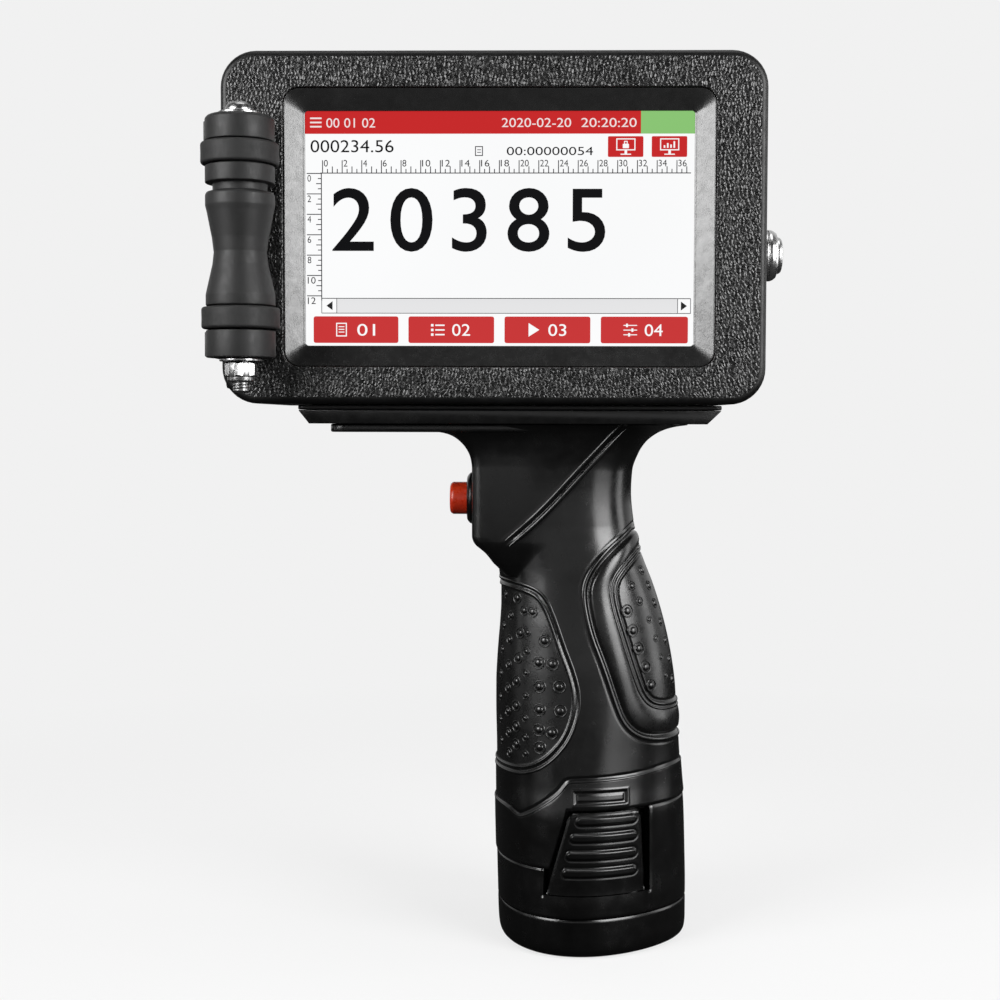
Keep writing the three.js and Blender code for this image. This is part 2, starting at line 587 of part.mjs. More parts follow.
// ---- Battery pack ----
const latchPlane = { pivot: 19, top: 41.8 };
function latchRegion(grow, slot) {
  const low = latchPlane.pivot - grow;
  const high = latchPlane.top + grow * 4;
  return solid(across(polygon([
    [-14.4 - grow, low], [12.6 + grow + slot, low], [11.9 + grow + slot, high], [-6 - grow, high],
  ]), -40, 40));
}
function towerOutline(inset) {
  const { front, back, half, corner } = tower;
  return roundedRect((front + back) / 2, 0, back - front - 2 * inset, 2 * (half - inset), corner - inset);
}
function makeBatteryCase() {
  const whole = handleLoft(0, baseTop + GAP, 60).intersect(batteryRegion(0));
  const cavity = handleLoft(handleWall, baseTop - 2, 60).intersect(batteryRegion(handleWall));
  const column = solid(upright(towerOutline(0), 20, tower.top));
  const bay = solid(upright(towerOutline(tower.wall), baseTop - 3, tower.top - tower.wall));
  let body = whole.subtract(cavity).add(column).subtract(bay);
  const nearSides = solid(box([-40, -tower.half - 0.2, -10], [40, tower.half + 0.2, 100]));
  const latchWindows = latchRegion(GAP, 2.2).subtract(nearSides);
  return body.subtract(latchWindows);
}
add("battery_case", makeBatteryCase(), glossBlack);
const baseInside = handleLoft(handleWall, 2.5, baseTop + 1);
add("battery_base", handleLoft(0, 0, baseTop).subtract(baseInside), glossBlack);

const latchSkin = handleLoft(0, 15, 50).subtract(handleLoft(2.2, 14, 51));
for (const [name, low, high] of sides) {
  const side = solid(box(low, high));
  const outer = solid(box([-40, -40, 0], [40, 40, 100])).subtract(solid(box([-41, -22, -1], [41, 22, 101])));
  add(`battery_latch_${name}`, latchRegion(-0.1, 0).intersect(latchSkin).intersect(side).intersect(outer), glossBlack);
}

const rowY = 8.05;
const cellPlaces = [[-12.1, -rowY], [7.1, -rowY], [-2.5, rowY]];
cellPlaces.forEach(([x, y], i) => {
  add(`battery_cell_${i + 1}`, rod(cell.radius, cell.bottom, cell.bottom + cell.length, 20).translate(x, y, 0), cellWrap);
});
const terminalTop = tower.top + 3.2;
const dockLow = terminalTop + 6;
const blades = [-8, -2.5, 3].map((x) => box([x - 0.4, -4, terminalTop - 0.5], [x + 0.4, 4, terminalTop + 4.4]));
add("battery_terminal", joined([box([-12, -7, tower.top + GAP], [7, 7, terminalTop]), ...blades]), darkPlastic);
add("battery_dock", joined([
  box([-14, -15, dockLow - 1], [9, 15, dockLow + 4]),
  ...[-10.6, -5.25, 0.25, 5.6].map((x) => box([x - 1.6, -6, terminalTop + 1], [x + 1.6, 6, dockLow])),
]), darkPlastic);

// ---- Wiring between the dock and the main board ----
const loomPath = new THREE.CatmullRomCurve3([
  new THREE.Vector3(-8, 0, dockLow + 5.4), new THREE.Vector3(-13.6, 0, 104), new THREE.Vector3(-12, 0, 122),
  new THREE.Vector3(-11.4, 0, 138), new THREE.Vector3(-12, 0, 150), new THREE.Vector3(-12, -3, 162),
]);
const loomSection = new THREE.Shape();
loomSection.absarc(0, 0, 2.2, 0, 2 * Math.PI);
const loom = new THREE.ExtrudeGeometry(loomSection, { steps: 12, curveSegments: 4, extrudePath: loomPath });
add("wiring_loom", loom, darkPlastic);

export default printer;
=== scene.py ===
"""Looks of a handheld date code printer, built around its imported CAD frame.

Lengths in the code are millimetres. Lights, the camera's clipping and noise scales are in metres.
"""
import json
import math

import bmesh
import bpy
import numpy as np
from mathutils import Matrix, Vector
from mathutils.geometry import tessellate_polygon


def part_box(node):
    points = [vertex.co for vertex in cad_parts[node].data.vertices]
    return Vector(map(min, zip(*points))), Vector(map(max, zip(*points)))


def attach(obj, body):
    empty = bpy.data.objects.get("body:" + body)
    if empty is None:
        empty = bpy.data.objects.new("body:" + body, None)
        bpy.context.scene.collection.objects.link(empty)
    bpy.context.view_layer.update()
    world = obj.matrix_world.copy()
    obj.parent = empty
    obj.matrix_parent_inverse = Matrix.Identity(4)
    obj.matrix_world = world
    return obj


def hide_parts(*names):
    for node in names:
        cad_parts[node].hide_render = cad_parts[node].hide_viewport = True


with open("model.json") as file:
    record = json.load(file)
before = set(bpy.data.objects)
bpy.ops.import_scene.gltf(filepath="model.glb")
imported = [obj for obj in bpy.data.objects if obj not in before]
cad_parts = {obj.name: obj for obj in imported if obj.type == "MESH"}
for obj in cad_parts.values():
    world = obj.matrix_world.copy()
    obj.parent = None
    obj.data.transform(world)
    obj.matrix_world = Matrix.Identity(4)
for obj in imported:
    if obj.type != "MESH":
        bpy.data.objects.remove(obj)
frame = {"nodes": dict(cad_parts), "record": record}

MM = 0.001
QUARTER = math.pi / 2
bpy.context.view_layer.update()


def cad_mm(node):
    """A CAD node's low and high corners, in millimetres."""
    low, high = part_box(node)
    return np.array(low) / MM, np.array(high) / MM


# ---------------------------------------------------------------- materials
COAT_ROUGH = 0.1
GRAIN_STRENGTH = 0.6
BEVEL_SAMPLES = 4


def node_material(name):
    mat = bpy.data.materials.new(name)
    mat.use_nodes = True
    tree = mat.node_tree
    return mat, tree, tree.nodes["Principled BSDF"]


def fill(tree, node, values):
    """Sets a node's inputs; a value that is another node's output is linked instead."""
    for key, value in values.items():
        if isinstance(value, bpy.types.NodeSocket):
            tree.links.new(value, node.inputs[key])
        else:
            node.inputs[key].default_value = value


def add(tree, kind, values=None, **settings):
    node = tree.nodes.new(kind)
    for key, value in settings.items():
        setattr(node, key, value)
    fill(tree, node, values or {})
    return node


def noise_at(tree, scale, detail=3.0, rough=0.55, distortion=0.0, stretch=None):
    """A noise texture in object space; scale is features per metre."""
    source = add(tree, "ShaderNodeTexCoord").outputs["Object"]
    if stretch:
        source = add(tree, "ShaderNodeMapping", {"Vector": source, "Scale": stretch}).outputs["Vector"]
    values = {"Vector": source, "Scale": scale, "Detail": detail, "Roughness": rough,
              "Distortion": distortion}
    return add(tree, "ShaderNodeTexNoise", values).outputs["Fac"]


def ramp(tree, source, stops):
    node = add(tree, "ShaderNodeValToRGB", {"Fac": source})
    elements = node.color_ramp.elements
    while len(elements) < len(stops):
        elements.new(0.5)
    for element, (place, value) in zip(elements, stops):
        element.position = place
        element.color = (*value, 1) if isinstance(value, tuple) else (value, value, value, 1)
    return node.outputs["Color"]


def bump(tree, height, strength, depth, normal=None):
    values = {"Strength": strength, "Distance": depth * MM, "Height": height}
    if normal:
        values["Normal"] = normal
    return add(tree, "ShaderNodeBump", values).outputs["Normal"]


def bevel(tree, radius):
    return add(tree, "ShaderNodeBevel", {"Radius": radius * MM}, samples=BEVEL_SAMPLES).outputs["Normal"]


def surface(name, dark, light, rough, grain=900.0, grain_depth=0.02, metallic=0.0, spread=0.08, coat=0.0,
            edge=0.0, stretch=None, patch=60.0, specular=0.5):
    """Colour drifts from dark to light in patches, roughness drifts by spread, and a fine grain stands up."""
    mat, tree, shader = node_material(name)
    patches = noise_at(tree, patch, 4.0, 0.6, 0.4)
    smears = noise_at(tree, patch * 5, 5.0, 0.65, 0.2, stretch)
    low, high = max(rough - spread, 0.02), min(rough + spread, 1.0)
    height = noise_at(tree, grain, 2.0, 0.5, 0.0, stretch)
    normal = bevel(tree, edge) if edge else None
    fill(tree, shader, {
        "Base Color": ramp(tree, patches, [(0.3, dark), (0.7, light)]),
        "Roughness": ramp(tree, smears, [(0.3, low), (0.7, high)]),
        "Normal": bump(tree, height, GRAIN_STRENGTH, grain_depth, normal),
        "Metallic": metallic,
        "Coat Weight": coat,
        "Coat Roughness": COAT_ROUGH,
        "Specular IOR Level": specular,
    })
    return mat


def grey(value):
    return (value, value, value)


def warped_coords(tree, scale, reach):
    """Object coordinates pushed about by a noise, so that cells lose their straight edges."""
    coords = add(tree, "ShaderNodeTexCoord").outputs["Object"]
    warp = add(tree, "ShaderNodeTexNoise", {"Vector": coords, "Scale": scale, "Detail": 2.0})
    shift = add(tree, "ShaderNodeVectorMath", {0: warp.outputs["Color"], 1: grey(reach), 2: coords},
                operation="MULTIPLY_ADD")
    return shift.outputs["Vector"]


def wrinkle_paint():
    """Black powder coat with a leathery wrinkle: rounded pebbles, creases between them, and pale glints."""
    mat, tree, shader = node_material("wrinkle_paint")
    coords = warped_coords(tree, 420.0, 0.0008)
    cells = add(tree, "ShaderNodeTexVoronoi", {"Vector": coords, "Scale": 980.0}, feature="DISTANCE_TO_EDGE")
    pebbles = ramp(tree, cells.outputs["Distance"], [(0.0, 0.0), (0.28, 1.0)])
    fine = noise_at(tree, 2300.0, 2.0, 0.5)
    coarse = bump(tree, pebbles, 0.7, 0.15)
    smears = noise_at(tree, 700.0, 3.0)
    fill(tree, shader, {
        "Normal": bump(tree, fine, 0.7, 0.09, coarse),
        "Base Color": ramp(tree, fine, [(0.35, 0.001), (0.72, 0.004)]),
        "Roughness": ramp(tree, smears, [(0.35, 0.22), (0.65, 0.36)]),
    })
    return mat


def lit(name, color):
    """A lit patch of the display: its colour, a faint fall-off of the backlight, and the pixel rows."""
    mat, tree, shader = node_material(name)
    tint = tuple(c * 0.965 for c in color)
    glow = noise_at(tree, 14.0, 1.0)
    rows = noise_at(tree, 4000.0, 1.0)
    fill(tree, shader, {
        "Emission Color": ramp(tree, glow, [(0.3, tint), (0.7, color)]),
        "Emission Strength": 1.0,
        "Base Color": (*grey(0.002), 1),
        "Normal": bump(tree, rows, 0.1, 0.004),
        "Roughness": 0.4,
        "Specular IOR Level": 0.0,
        "Coat Weight": 0.6,
        "Coat Roughness": 0.04,
    })
    return mat


PAINT = wrinkle_paint()
EDGE_PAINT = surface("smooth_edge_paint", grey(0.0015), grey(0.003), 0.4, grain=1500, grain_depth=0.03,
                     specular=0.25)
BEZEL = surface("bezel_satin", grey(0.006), grey(0.01), 0.25, grain=2400, grain_depth=0.03, spread=0.06,
                patch=90, specular=0.65)
GLOSS_LOOK = dict(rough=0.24, grain=3000, grain_depth=0.016, spread=0.05, patch=40)
GLOSS = surface("gloss_black", grey(0.0006), grey(0.0014), **GLOSS_LOOK)
GLOSS_CUT = surface("gloss_black_parts", grey(0.0006), grey(0.0014), edge=0.25, **GLOSS_LOOK)
GRIP = surface("grip_soft", grey(0.0012), grey(0.003), 0.28, grain=2600, spread=0.05, patch=50)
SPOOL = surface("spool_satin", grey(0.007), grey(0.012), 0.5, grain=1800, grain_depth=0.012, edge=0.2,
                patch=90, specular=0.26)
TYRE = surface("tyre_rubber", grey(0.007), grey(0.011), 0.62, grain=2600, grain_depth=0.03, edge=0.2,
               patch=110, specular=0.3)
STEEL = surface("plated_steel", grey(0.22), grey(0.42), 0.27, grain=1400, grain_depth=0.015, metallic=1.0,
                edge=0.12, patch=220)
BRUSHED = surface("brushed_steel", grey(0.5), grey(0.68), 0.26, metallic=1.0, edge=0.12, stretch=(0.05, 1, 1),
                  patch=200)
ANODISED = surface("anodised_black", grey(0.012), grey(0.024), 0.4, grain=2600, metallic=0.6, edge=0.2,
                   patch=120)
RED = surface("trigger_red", (0.31, 0.013, 0.003), (0.47, 0.03, 0.006), 0.3, grain=1800, edge=0.25, patch=160)
BOARD = surface("solder_mask", (0.008, 0.09, 0.03), (0.015, 0.15, 0.05), 0.35, grain=500, grain_depth=0.05,
                coat=0.3)
INNER = surface("moulded_inner", grey(0.02), grey(0.035), 0.5, grain=1500, grain_depth=0.03)
CARTRIDGE = surface("cartridge_moulding", grey(0.014), grey(0.024), 0.42, grain=1700, grain_depth=0.03,
                    edge=0.2)
COPPER = surface("plated_copper", (0.62, 0.34, 0.13), (0.8, 0.5, 0.2), 0.25, grain_depth=0.01, metallic=1.0)
WRAP = surface("cell_wrap", (0.02, 0.09, 0.32), (0.03, 0.14, 0.45), 0.28, grain=700, coat=0.5)
GLASS_EDGE = surface("display_edge", grey(0.004), grey(0.008), 0.12, grain=600, grain_depth=0.004,
                     spread=0.03)


SLOT_LOOKS = {
    "housing_paint": PAINT, "bezel_plastic": BEZEL, "screen_glass": GLASS_EDGE, "display_body": INNER,
    "circuit_board": BOARD, "inner_plastic": INNER, "cartridge_plastic": CARTRIDGE, "nozzle_metal": COPPER,
    "anodised_bracket": ANODISED, "roller_plastic": SPOOL, "tyre_rubber": TYRE, "plated_steel": STEEL,
    "switch_steel": BRUSHED, "gloss_handle": GLOSS_CUT, "grip_rubber": GRIP, "trigger_red": RED,
    "cell_wrap": WRAP,
}
for part in frame["record"]["subparts"]:
    cad = frame["nodes"][part["node"]]
    for material_slot in cad.material_slots:
        material_slot.material = SLOT_LOOKS[part["material_slot"]]


# ---------------------------------------------------------------- mesh code
CRISP = 35.0  # edges sharper than this many degrees stay crisp
CRISP_BOX = 40.0
CRISP_CUT = 32.0
EVEN = 0.01  # a corner radius too small to see


def in_scene(name, mesh, sharp=None):
    """The mesh as an object in the scene; edges sharper than the angle stay crisp."""
    obj = bpy.data.objects.new(name, mesh)
    bpy.context.scene.collection.objects.link(obj)
    if sharp:
        mesh.set_sharp_from_angle(angle=math.radians(sharp))
    return obj


def shade_smooth(mesh):
    mesh.polygons.foreach_set("use_smooth", [True] * len(mesh.polygons))


def mesh_object(name, points, faces, material, sharp=CRISP):
    """An object from points and faces given as index lists."""
    mesh = bpy.data.meshes.new(name)
    mesh.from_pydata((np.asarray(points, float) * MM).tolist(), [], [list(map(int, f)) for f in faces])
    mesh.materials.append(material)
    shade_smooth(mesh)
    mesh.update()
    return in_scene(name, mesh, sharp)


def built_object(name, built, material):
    """An object from a finished bmesh."""
    mesh = bpy.data.meshes.new(name)
    built.to_mesh(mesh)
    built.free()
    mesh.materials.append(material)
    shade_smooth(mesh)
    return in_scene(name, mesh, CRISP_BOX)


def piece(obj, body, slot, *nodes):
    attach(obj, body)
    if nodes:
        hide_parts(*nodes)
    return obj


def merged(name, objects, material=None, sharp=CRISP):
    """One object from several; each keeps its own material unless one is given."""
    built = bmesh.new()
    materials = []
    for source in objects:
        own = material or source.data.materials[0]
        if own not in materials:
            materials.append(own)
        first = len(built.faces)
        built.from_mesh(source.data)
        built.faces.ensure_lookup_table()
        for face in built.faces[first:]:
            face.material_index = materials.index(own)
        bpy.data.objects.remove(source)
    mesh = bpy.data.meshes.new(name)
    built.to_mesh(mesh)
    built.free()
    for own in materials:
        mesh.materials.append(own)
    return in_scene(name, mesh, sharp)


def fillet(points, radius, steps=4, closed=False):
    """A polyline with every inner corner rounded."""
    points = [np.asarray(p, float) for p in points]
    count = len(points)
    made = []
    for i, corner in enumerate(points):
        if not closed and i in (0, count - 1):
            made.append(corner)
            continue
        before, after = points[i - 1], points[(i + 1) % count]
        reach = min(radius, min(np.linalg.norm(before - corner), np.linalg.norm(after - corner)) * 0.48)
        a, b = (corner + (end - corner) / max(np.linalg.norm(end - corner), 1e-9) * reach
                for end in (before, after))
        for t in np.linspace(0, 1, steps + 1):
            made.append((1 - t) ** 2 * a + 2 * t * (1 - t) * corner + t**2 * b)
    return made


def rounded_box(a0, b0, a1, b1, radius, steps):
    """The outline of a rectangle with rounded corners."""
    return fillet([(a0, b0), (a1, b0), (a1, b1), (a0, b1)], radius, steps, closed=True)


def grid_faces(rows, columns, first=0, closed=True, flip=False):
    """Quads between points numbered row by row; a closed grid joins its last column to its first."""
    faces = []
    for row in range(rows - 1):
        a, b = first + row * columns, first + (row + 1) * columns
        for i in range(columns if closed else columns - 1):
            j = (i + 1) % columns
            corners = (a + i, a + j, b + j, b + i)
            faces.append(corners[::-1] if flip else corners)
    return faces


def lathe(name, profile, material, axis="Z", centre=(0, 0, 0), radius=0.35, segments=96, sharp=CRISP):
    """A turned piece from (radius, height) corners, each rounded a little."""
    angles = np.arange(segments) * 2 * math.pi / segments
    points, faces, rings = [], [], []
    for r, h in fillet(profile, radius):
        if r < 1e-6:
            rings.append([len(points)])
            points.append((0, 0, h))
            continue
        rings.append(list(range(len(points), len(points) + segments)))
        points.extend((r * math.cos(a), r * math.sin(a), h) for a in angles)
    for low, high in zip(rings, rings[1:]):
        for i in range(segments):
            j = (i + 1) % segments
            if len(low) == 1 and len(high) == 1:
                continue
            if len(low) == 1:
                faces.append((low[0], high[j], high[i])[::-1])
            elif len(high) == 1:
                faces.append((low[i], low[j], high[0]))
            else:
                faces.append((low[i], low[j], high[j], high[i]))
    points = np.array(points)
    if axis == "X":
        points = points[:, [2, 1, 0]] * (1, -1, 1)
    if axis == "Y":
        points = points[:, [0, 2, 1]] * (-1, 1, 1)
    return mesh_object(name, points + np.asarray(centre, float), faces, material, sharp)


def raised(profile, height):
    """A turned profile moved along its axis."""
    return [(r, height + h) for r, h in profile]


def block(name, low, high, material, round_by=0.4, steps=3):
    """A box with rounded edges."""
    low, high = np.asarray(low, float), np.asarray(high, float)
    built = bmesh.new()
    bmesh.ops.create_cube(built, size=1.0)
    for vertex in built.verts:
        vertex.co = Vector(((np.array(vertex.co) + 0.5) * (high - low) + low) * MM)
    bmesh.ops.bevel(built, geom=built.edges[:], offset=round_by * MM, segments=steps, profile=0.5,
                    affect="EDGES")
    return built_object(name, built, material)


def round_rims(built, levels, rims, radius):
    """Rounds the edges between neighbouring outline points on both levels."""
    edges = [built.edges.get((verts[a], verts[b])) for a, b in rims for verts in levels]
    bmesh.ops.dissolve_limit(built, angle_limit=0.01, verts=built.verts[:], edges=built.edges[:])
    bmesh.ops.bevel(built, geom=[e for e in edges if e and e.is_valid], offset=radius * MM, segments=3,
                    profile=0.5, affect="EDGES", clamp_overlap=True)


def prism(name, outline, low, high, axis, material, round_by=0.4, holes=()):
    """An outline (two coordinates) raised along the third axis, with rounded rims."""
    loops = [[tuple(map(float, p)) for p in loop] for loop in (outline, *holes)]

    def place(p, level):
        a, b = p
        return Vector({"X": (level, a, b), "Y": (a, level, b), "Z": (a, b, level)}[axis]) * MM

    built = bmesh.new()
    levels = [[built.verts.new(place(p, level)) for loop in loops for p in loop] for level in (low, high)]
    for a, b, c in tessellate_polygon([[Vector((x, y, 0)) for x, y in loop] for loop in loops]):
        for verts in levels:
            built.faces.new((verts[a], verts[b], verts[c]))
    rims = []
    for loop in loops:
        start, count = len(rims), len(loop)
        rims += [(start + i, start + (i + 1) % count) for i in range(count)]
    for a, b in rims:
        built.faces.new((levels[0][a], levels[0][b], levels[1][b], levels[1][a]))
    bmesh.ops.recalc_face_normals(built, faces=built.faces[:])
    round_rims(built, levels, rims, round_by)
    return built_object(name, built, material)


def loft(name, rings, material, cap_first=False, cap_last=False, sharp=CRISP):
    """Closed rings of equal counts joined in order."""
    count = len(rings[0])
    points = np.concatenate([np.asarray(r, float) for r in rings])
    faces = grid_faces(len(rings), count)
    if cap_first:
        faces.append(tuple(range(count))[::-1])
    if cap_last:
        faces.append(tuple(range(len(points) - count, len(points))))
    return mesh_object(name, points, faces, material, sharp)


def closed_loft(name, rings, material, sharp=CRISP):
    """Rings that come back to the first one, as a hollow shell."""
    return loft(name, [*rings, rings[0]], material, sharp=sharp)


def cut(obj, cutters):
    """The object less each cutter, as a plain mesh."""
    for cutter in cutters:
        modifier = obj.modifiers.new("cut", "BOOLEAN")
        modifier.operation = "DIFFERENCE"
        modifier.solver = "EXACT"
        modifier.object = cutter
    depsgraph = bpy.context.evaluated_depsgraph_get()
    mesh = bpy.data.meshes.new_from_object(obj.evaluated_get(depsgraph))
    obj.modifiers.clear()
    obj.data = mesh
    for cutter in cutters:
        bpy.data.objects.remove(cutter)
    shade_smooth(mesh)
    mesh.set_sharp_from_angle(angle=math.radians(CRISP_CUT))
    return obj


def weld(obj):
    built = bmesh.new()
    built.from_mesh(obj.data)
    bmesh.ops.remove_doubles(built, verts=built.verts[:], dist=1e-6)
    bmesh.ops.recalc_face_normals(built, faces=built.faces[:])
    built.to_mesh(obj.data)
    built.free()
    return obj


def smooth_step(x):
    x = np.clip(x, 0, 1)
    return x * x * (3 - 2 * x)


def quarter_turn(steps):
    """Angles from 0 to a right angle."""
    return np.linspace(0, QUARTER, steps + 1)


# ---------------------------------------------------------------- head
HEAD_LOW, HEAD_HIGH = cad_mm("front_housing")
COVER_LOW, COVER_HIGH = cad_mm("rear_cover")
SCREEN = dict(x0=-81.6, x1=26.4, z0=173.6, z1=238.4)
RECESS = dict(x0=-87.3, x1=32.1, z0=167.7, z1=244.3)
HEAD_CORNER, RECESS_CORNER, SCREEN_CORNER = 10.0, 4.5, 1.0
WALL = 2.5
HEAD_EDGE = 1.9  # radius of the edge round the front and the back
HEAD_EDGE_STEPS = 6
SEAM_CHAMFER = 0.35
RECESS_DEPTH = 4.5
RECESS_LIP = 0.4
PANEL_DROP = 0.7  # how far the middle of the rear cover is sunk
PRINT_WINDOW = dict(y=11.4, z0=170.2, z1=242)
WIRE_HOLE = dict(x=-12, radius=6)


def rect_ring(x0, x1, z0, z1, radius, y, corner=10, side=6):
    """A rounded rectangle in X and Z, with the same point count for any size."""
    points = []
    centres = [(x1 - radius, z1 - radius), (x0 + radius, z1 - radius), (x0 + radius, z0 + radius),
               (x1 - radius, z0 + radius)]
    for turn, (cx, cz) in enumerate(centres):
        for t in quarter_turn(corner):
            a = t + turn * QUARTER
            points.append((cx + radius * math.cos(a), y, cz + radius * math.sin(a)))
    full = []
    for i, p in enumerate(points):
        full.append(p)
        if (i + 1) % (corner + 1) == 0:
            q = points[(i + 1) % len(points)]
            for t in np.linspace(0, 1, side + 2)[1:-1]:
                full.append(tuple(np.array(p) * (1 - t) + np.array(q) * t))
    return np.array(full)


def inset_ring(area, inset, radius, y):
    return rect_ring(area["x0"] + inset, area["x1"] - inset, area["z0"] + inset, area["z1"] - inset,
                     radius, y)


HEAD_OUTLINE = dict(x0=HEAD_LOW[0], x1=HEAD_HIGH[0], z0=HEAD_LOW[2], z1=HEAD_HIGH[2])


def head_ring(inset, y, radius=None):
    radius = HEAD_CORNER - inset if radius is None else radius
    return inset_ring(HEAD_OUTLINE, inset, max(radius, 0.5), y)


def recess_ring(inset, y):
    return inset_ring(RECESS, inset, max(RECESS_CORNER - inset, 0.4), y)


def screen_ring(inset, y):
    return inset_ring(SCREEN, inset, max(SCREEN_CORNER - inset, 0.3), y)


def edge_inset(c):
    """How far a point lies inside the head's outline, in the X and Z plane."""
    half = (HEAD_HIGH - HEAD_LOW) / 2
    middle = (HEAD_HIGH + HEAD_LOW) / 2
    dx = abs(c[0] - middle[0]) - (half[0] - HEAD_CORNER)
    dz = abs(c[2] - middle[2]) - (half[2] - HEAD_CORNER)
    return HEAD_CORNER - (math.hypot(max(dx, 0), max(dz, 0)) + min(max(dx, dz), 0))


def smooth_band(obj, past_edge):
    """Gives the smooth edge paint to the faces of the rounded edge."""
    obj.data.materials.append(EDGE_PAINT)
    for face in obj.data.polygons:
        centre = np.array(face.center) / MM
        if past_edge(centre[1]) and edge_inset(centre) < HEAD_EDGE + 0.1:
            face.material_index = len(obj.data.materials) - 1


def edge_rings(face, inward):
    """Rings over the rounded edge between the head's side and a flat face; inward is the way back along Y."""
    rings = [head_ring(0, face + inward * HEAD_EDGE)]
    for a in quarter_turn(HEAD_EDGE_STEPS)[1:]:
        rings.append(head_ring(HEAD_EDGE * (1 - math.cos(a)), face + inward * HEAD_EDGE * (1 - math.sin(a))))
    return [*rings, head_ring(HEAD_EDGE + 0.9, face)]


def housing_openings():
    """Cutters for the print window, the data port, the power switch and the wires to the handle."""
    window = block("window", (HEAD_LOW[0] - 2, -PRINT_WINDOW["y"], PRINT_WINDOW["z0"]),
                   (HEAD_LOW[0] + 4, PRINT_WINDOW["y"], PRINT_WINDOW["z1"]), PAINT, EVEN, 1)
    low, high = cad_mm("usb_socket")
    room = 0.3
    port = block("port", (HEAD_HIGH[0] - 4, low[1] - room, low[2] - room),
                 (HEAD_HIGH[0] + 2, high[1] + room, high[2] + room), PAINT, EVEN, 1)
    low, high = cad_mm("power_button")
    hole = lathe("hole", [(0, 40), (6.2, 40), (6.2, 50), (0, 50)], PAINT, "X",
                 (0, (low[1] + high[1]) / 2, (low[2] + high[2]) / 2), EVEN, 48)
    r = WIRE_HOLE["radius"]
    wires = lathe("wires", [(0, 150), (r, 150), (r, 162), (0, 162)], PAINT, "Z", (WIRE_HOLE["x"], 0, 0), EVEN,
                  32)
    return [weld(cutter) for cutter in (window, port, hole, wires)]


def make_front_housing():
    front, seam = HEAD_LOW[1], HEAD_HIGH[1]
    rings = [head_ring(SEAM_CHAMFER, seam), head_ring(0, seam - SEAM_CHAMFER), *edge_rings(front, 1),
             recess_ring(-1.2, front)]
    for a in quarter_turn(3):
        rings.append(recess_ring(-RECESS_LIP + RECESS_LIP * math.sin(a),
                                 front + RECESS_LIP * (1 - math.cos(a))))
    floor = front + RECESS_DEPTH
    rings += [recess_ring(0, floor), head_ring(WALL, floor), head_ring(WALL, seam)]
    obj = weld(closed_loft("front_housing_skin", rings, PAINT))
    cut(obj, housing_openings())
    smooth_band(obj, lambda y: y < front + HEAD_EDGE)
    return piece(obj, "printer", "housing_paint", "front_housing")


def screw_places():
    places = []
    for i in range(1, 5):
        low, high = cad_mm(f"rear_cover_screw_{i}")
        places.append(((low[0] + high[0]) / 2, (low[2] + high[2]) / 2))
    return places


def make_rear_cover():
    back, seam = COVER_HIGH[1], COVER_LOW[1]
    sunk = back - PANEL_DROP
    rings = [head_ring(WALL, seam), head_ring(SEAM_CHAMFER, seam), head_ring(0, seam + SEAM_CHAMFER),
             *edge_rings(back, -1), head_ring(13.4, back, 4), head_ring(14.2, sunk, 4),
             head_ring(15.2, sunk, 3.6)]
    inside = back - WALL - PANEL_DROP
    outer = loft("outer", rings, PAINT, cap_last=True)
    under = loft("under", [head_ring(30, inside, 2), head_ring(WALL, inside), head_ring(WALL, seam)], PAINT,
                 cap_first=True)
    obj = weld(merged("rear_cover_skin", [outer, under], PAINT))
    bore = raised([(0, -2.4), (3.4, -2.4), (3.4, 2), (0, 2)], back)
    cut(obj, [weld(lathe("counterbore", bore, PAINT, "Y", (x, 0, z), EVEN, 40)) for x, z in screw_places()])
    smooth_band(obj, lambda y: y > back - HEAD_EDGE)
    return piece(obj, "printer", "housing_paint", "rear_cover")


# Button-head screws with a hexagonal socket: radius and height of each corner, from the top of the head.
COVER_SCREW = [(0, -5), (1.5, -5), (1.5, -1.9), (3, -1.9), (3, -1), (2.5, -0.35), (1.5, 0), (1.15, 0),
               (1.0, -0.3)]
COVER_SOCKET = [(1.0, -0.3), (1.0, -1.2), (0, -1.3)]
SHELL_SCREW = [(0, -14), (1.5, -14), (1.5, -2), (2.9, -2), (2.9, -0.9), (2.3, -0.3), (1.4, 0), (1.1, 0),
               (0.95, -0.25)]
SHELL_SOCKET = [(0.95, -0.25), (0.95, -1.1), (0, -1.2)]


def make_screw(name, node, head, socket, x, z):
    top = cad_mm(node)[1][1]
    parts = [lathe("screw_head", raised(head, top), STEEL, "Y", (x, 0, z), 0.15, 48),
             lathe("screw_socket", raised(socket, top), STEEL, "Y", (x, 0, z), EVEN, 6)]
    piece(merged(name, parts), "printer", "plated_steel", node)
    return top


def make_cover_screws():
    for i, (x, z) in enumerate(screw_places(), 1):
        make_screw(f"cover_screw_{i}", f"rear_cover_screw_{i}", COVER_SCREW, COVER_SOCKET, x, z)


def make_bezel():
    front = cad_mm("screen_bezel")[0][1]
    shelf, back = front + 2.6, front + 4.3
    rings = [recess_ring(0.15, back)]
    rings += [recess_ring(inset, front + sunk)
              for inset, sunk in ((0.15, 0.35), (0.2, 0.26), (0.3, 0.22), (0.42, 0.26))]
    crest = rings[-1]
    foot = screen_ring(-0.45, shelf - 0.1)
    # Rings close to both ends of the slope keep it flat between them.
    rings += [crest + (foot - crest) * t for t in (0.03, 0.97)]
    rings += [foot, screen_ring(-0.2, shelf - 0.02), screen_ring(0, shelf + 0.1), screen_ring(0, shelf + 0.5),
              screen_ring(-2.8, shelf + 0.5), screen_ring(-2.8, back)]
    obj = weld(closed_loft("bezel_frame", rings, BEZEL))
    return piece(obj, "printer", "bezel_plastic", "screen_bezel")


make_front_housing()
make_rear_cover()
make_cover_screws()
make_bezel()


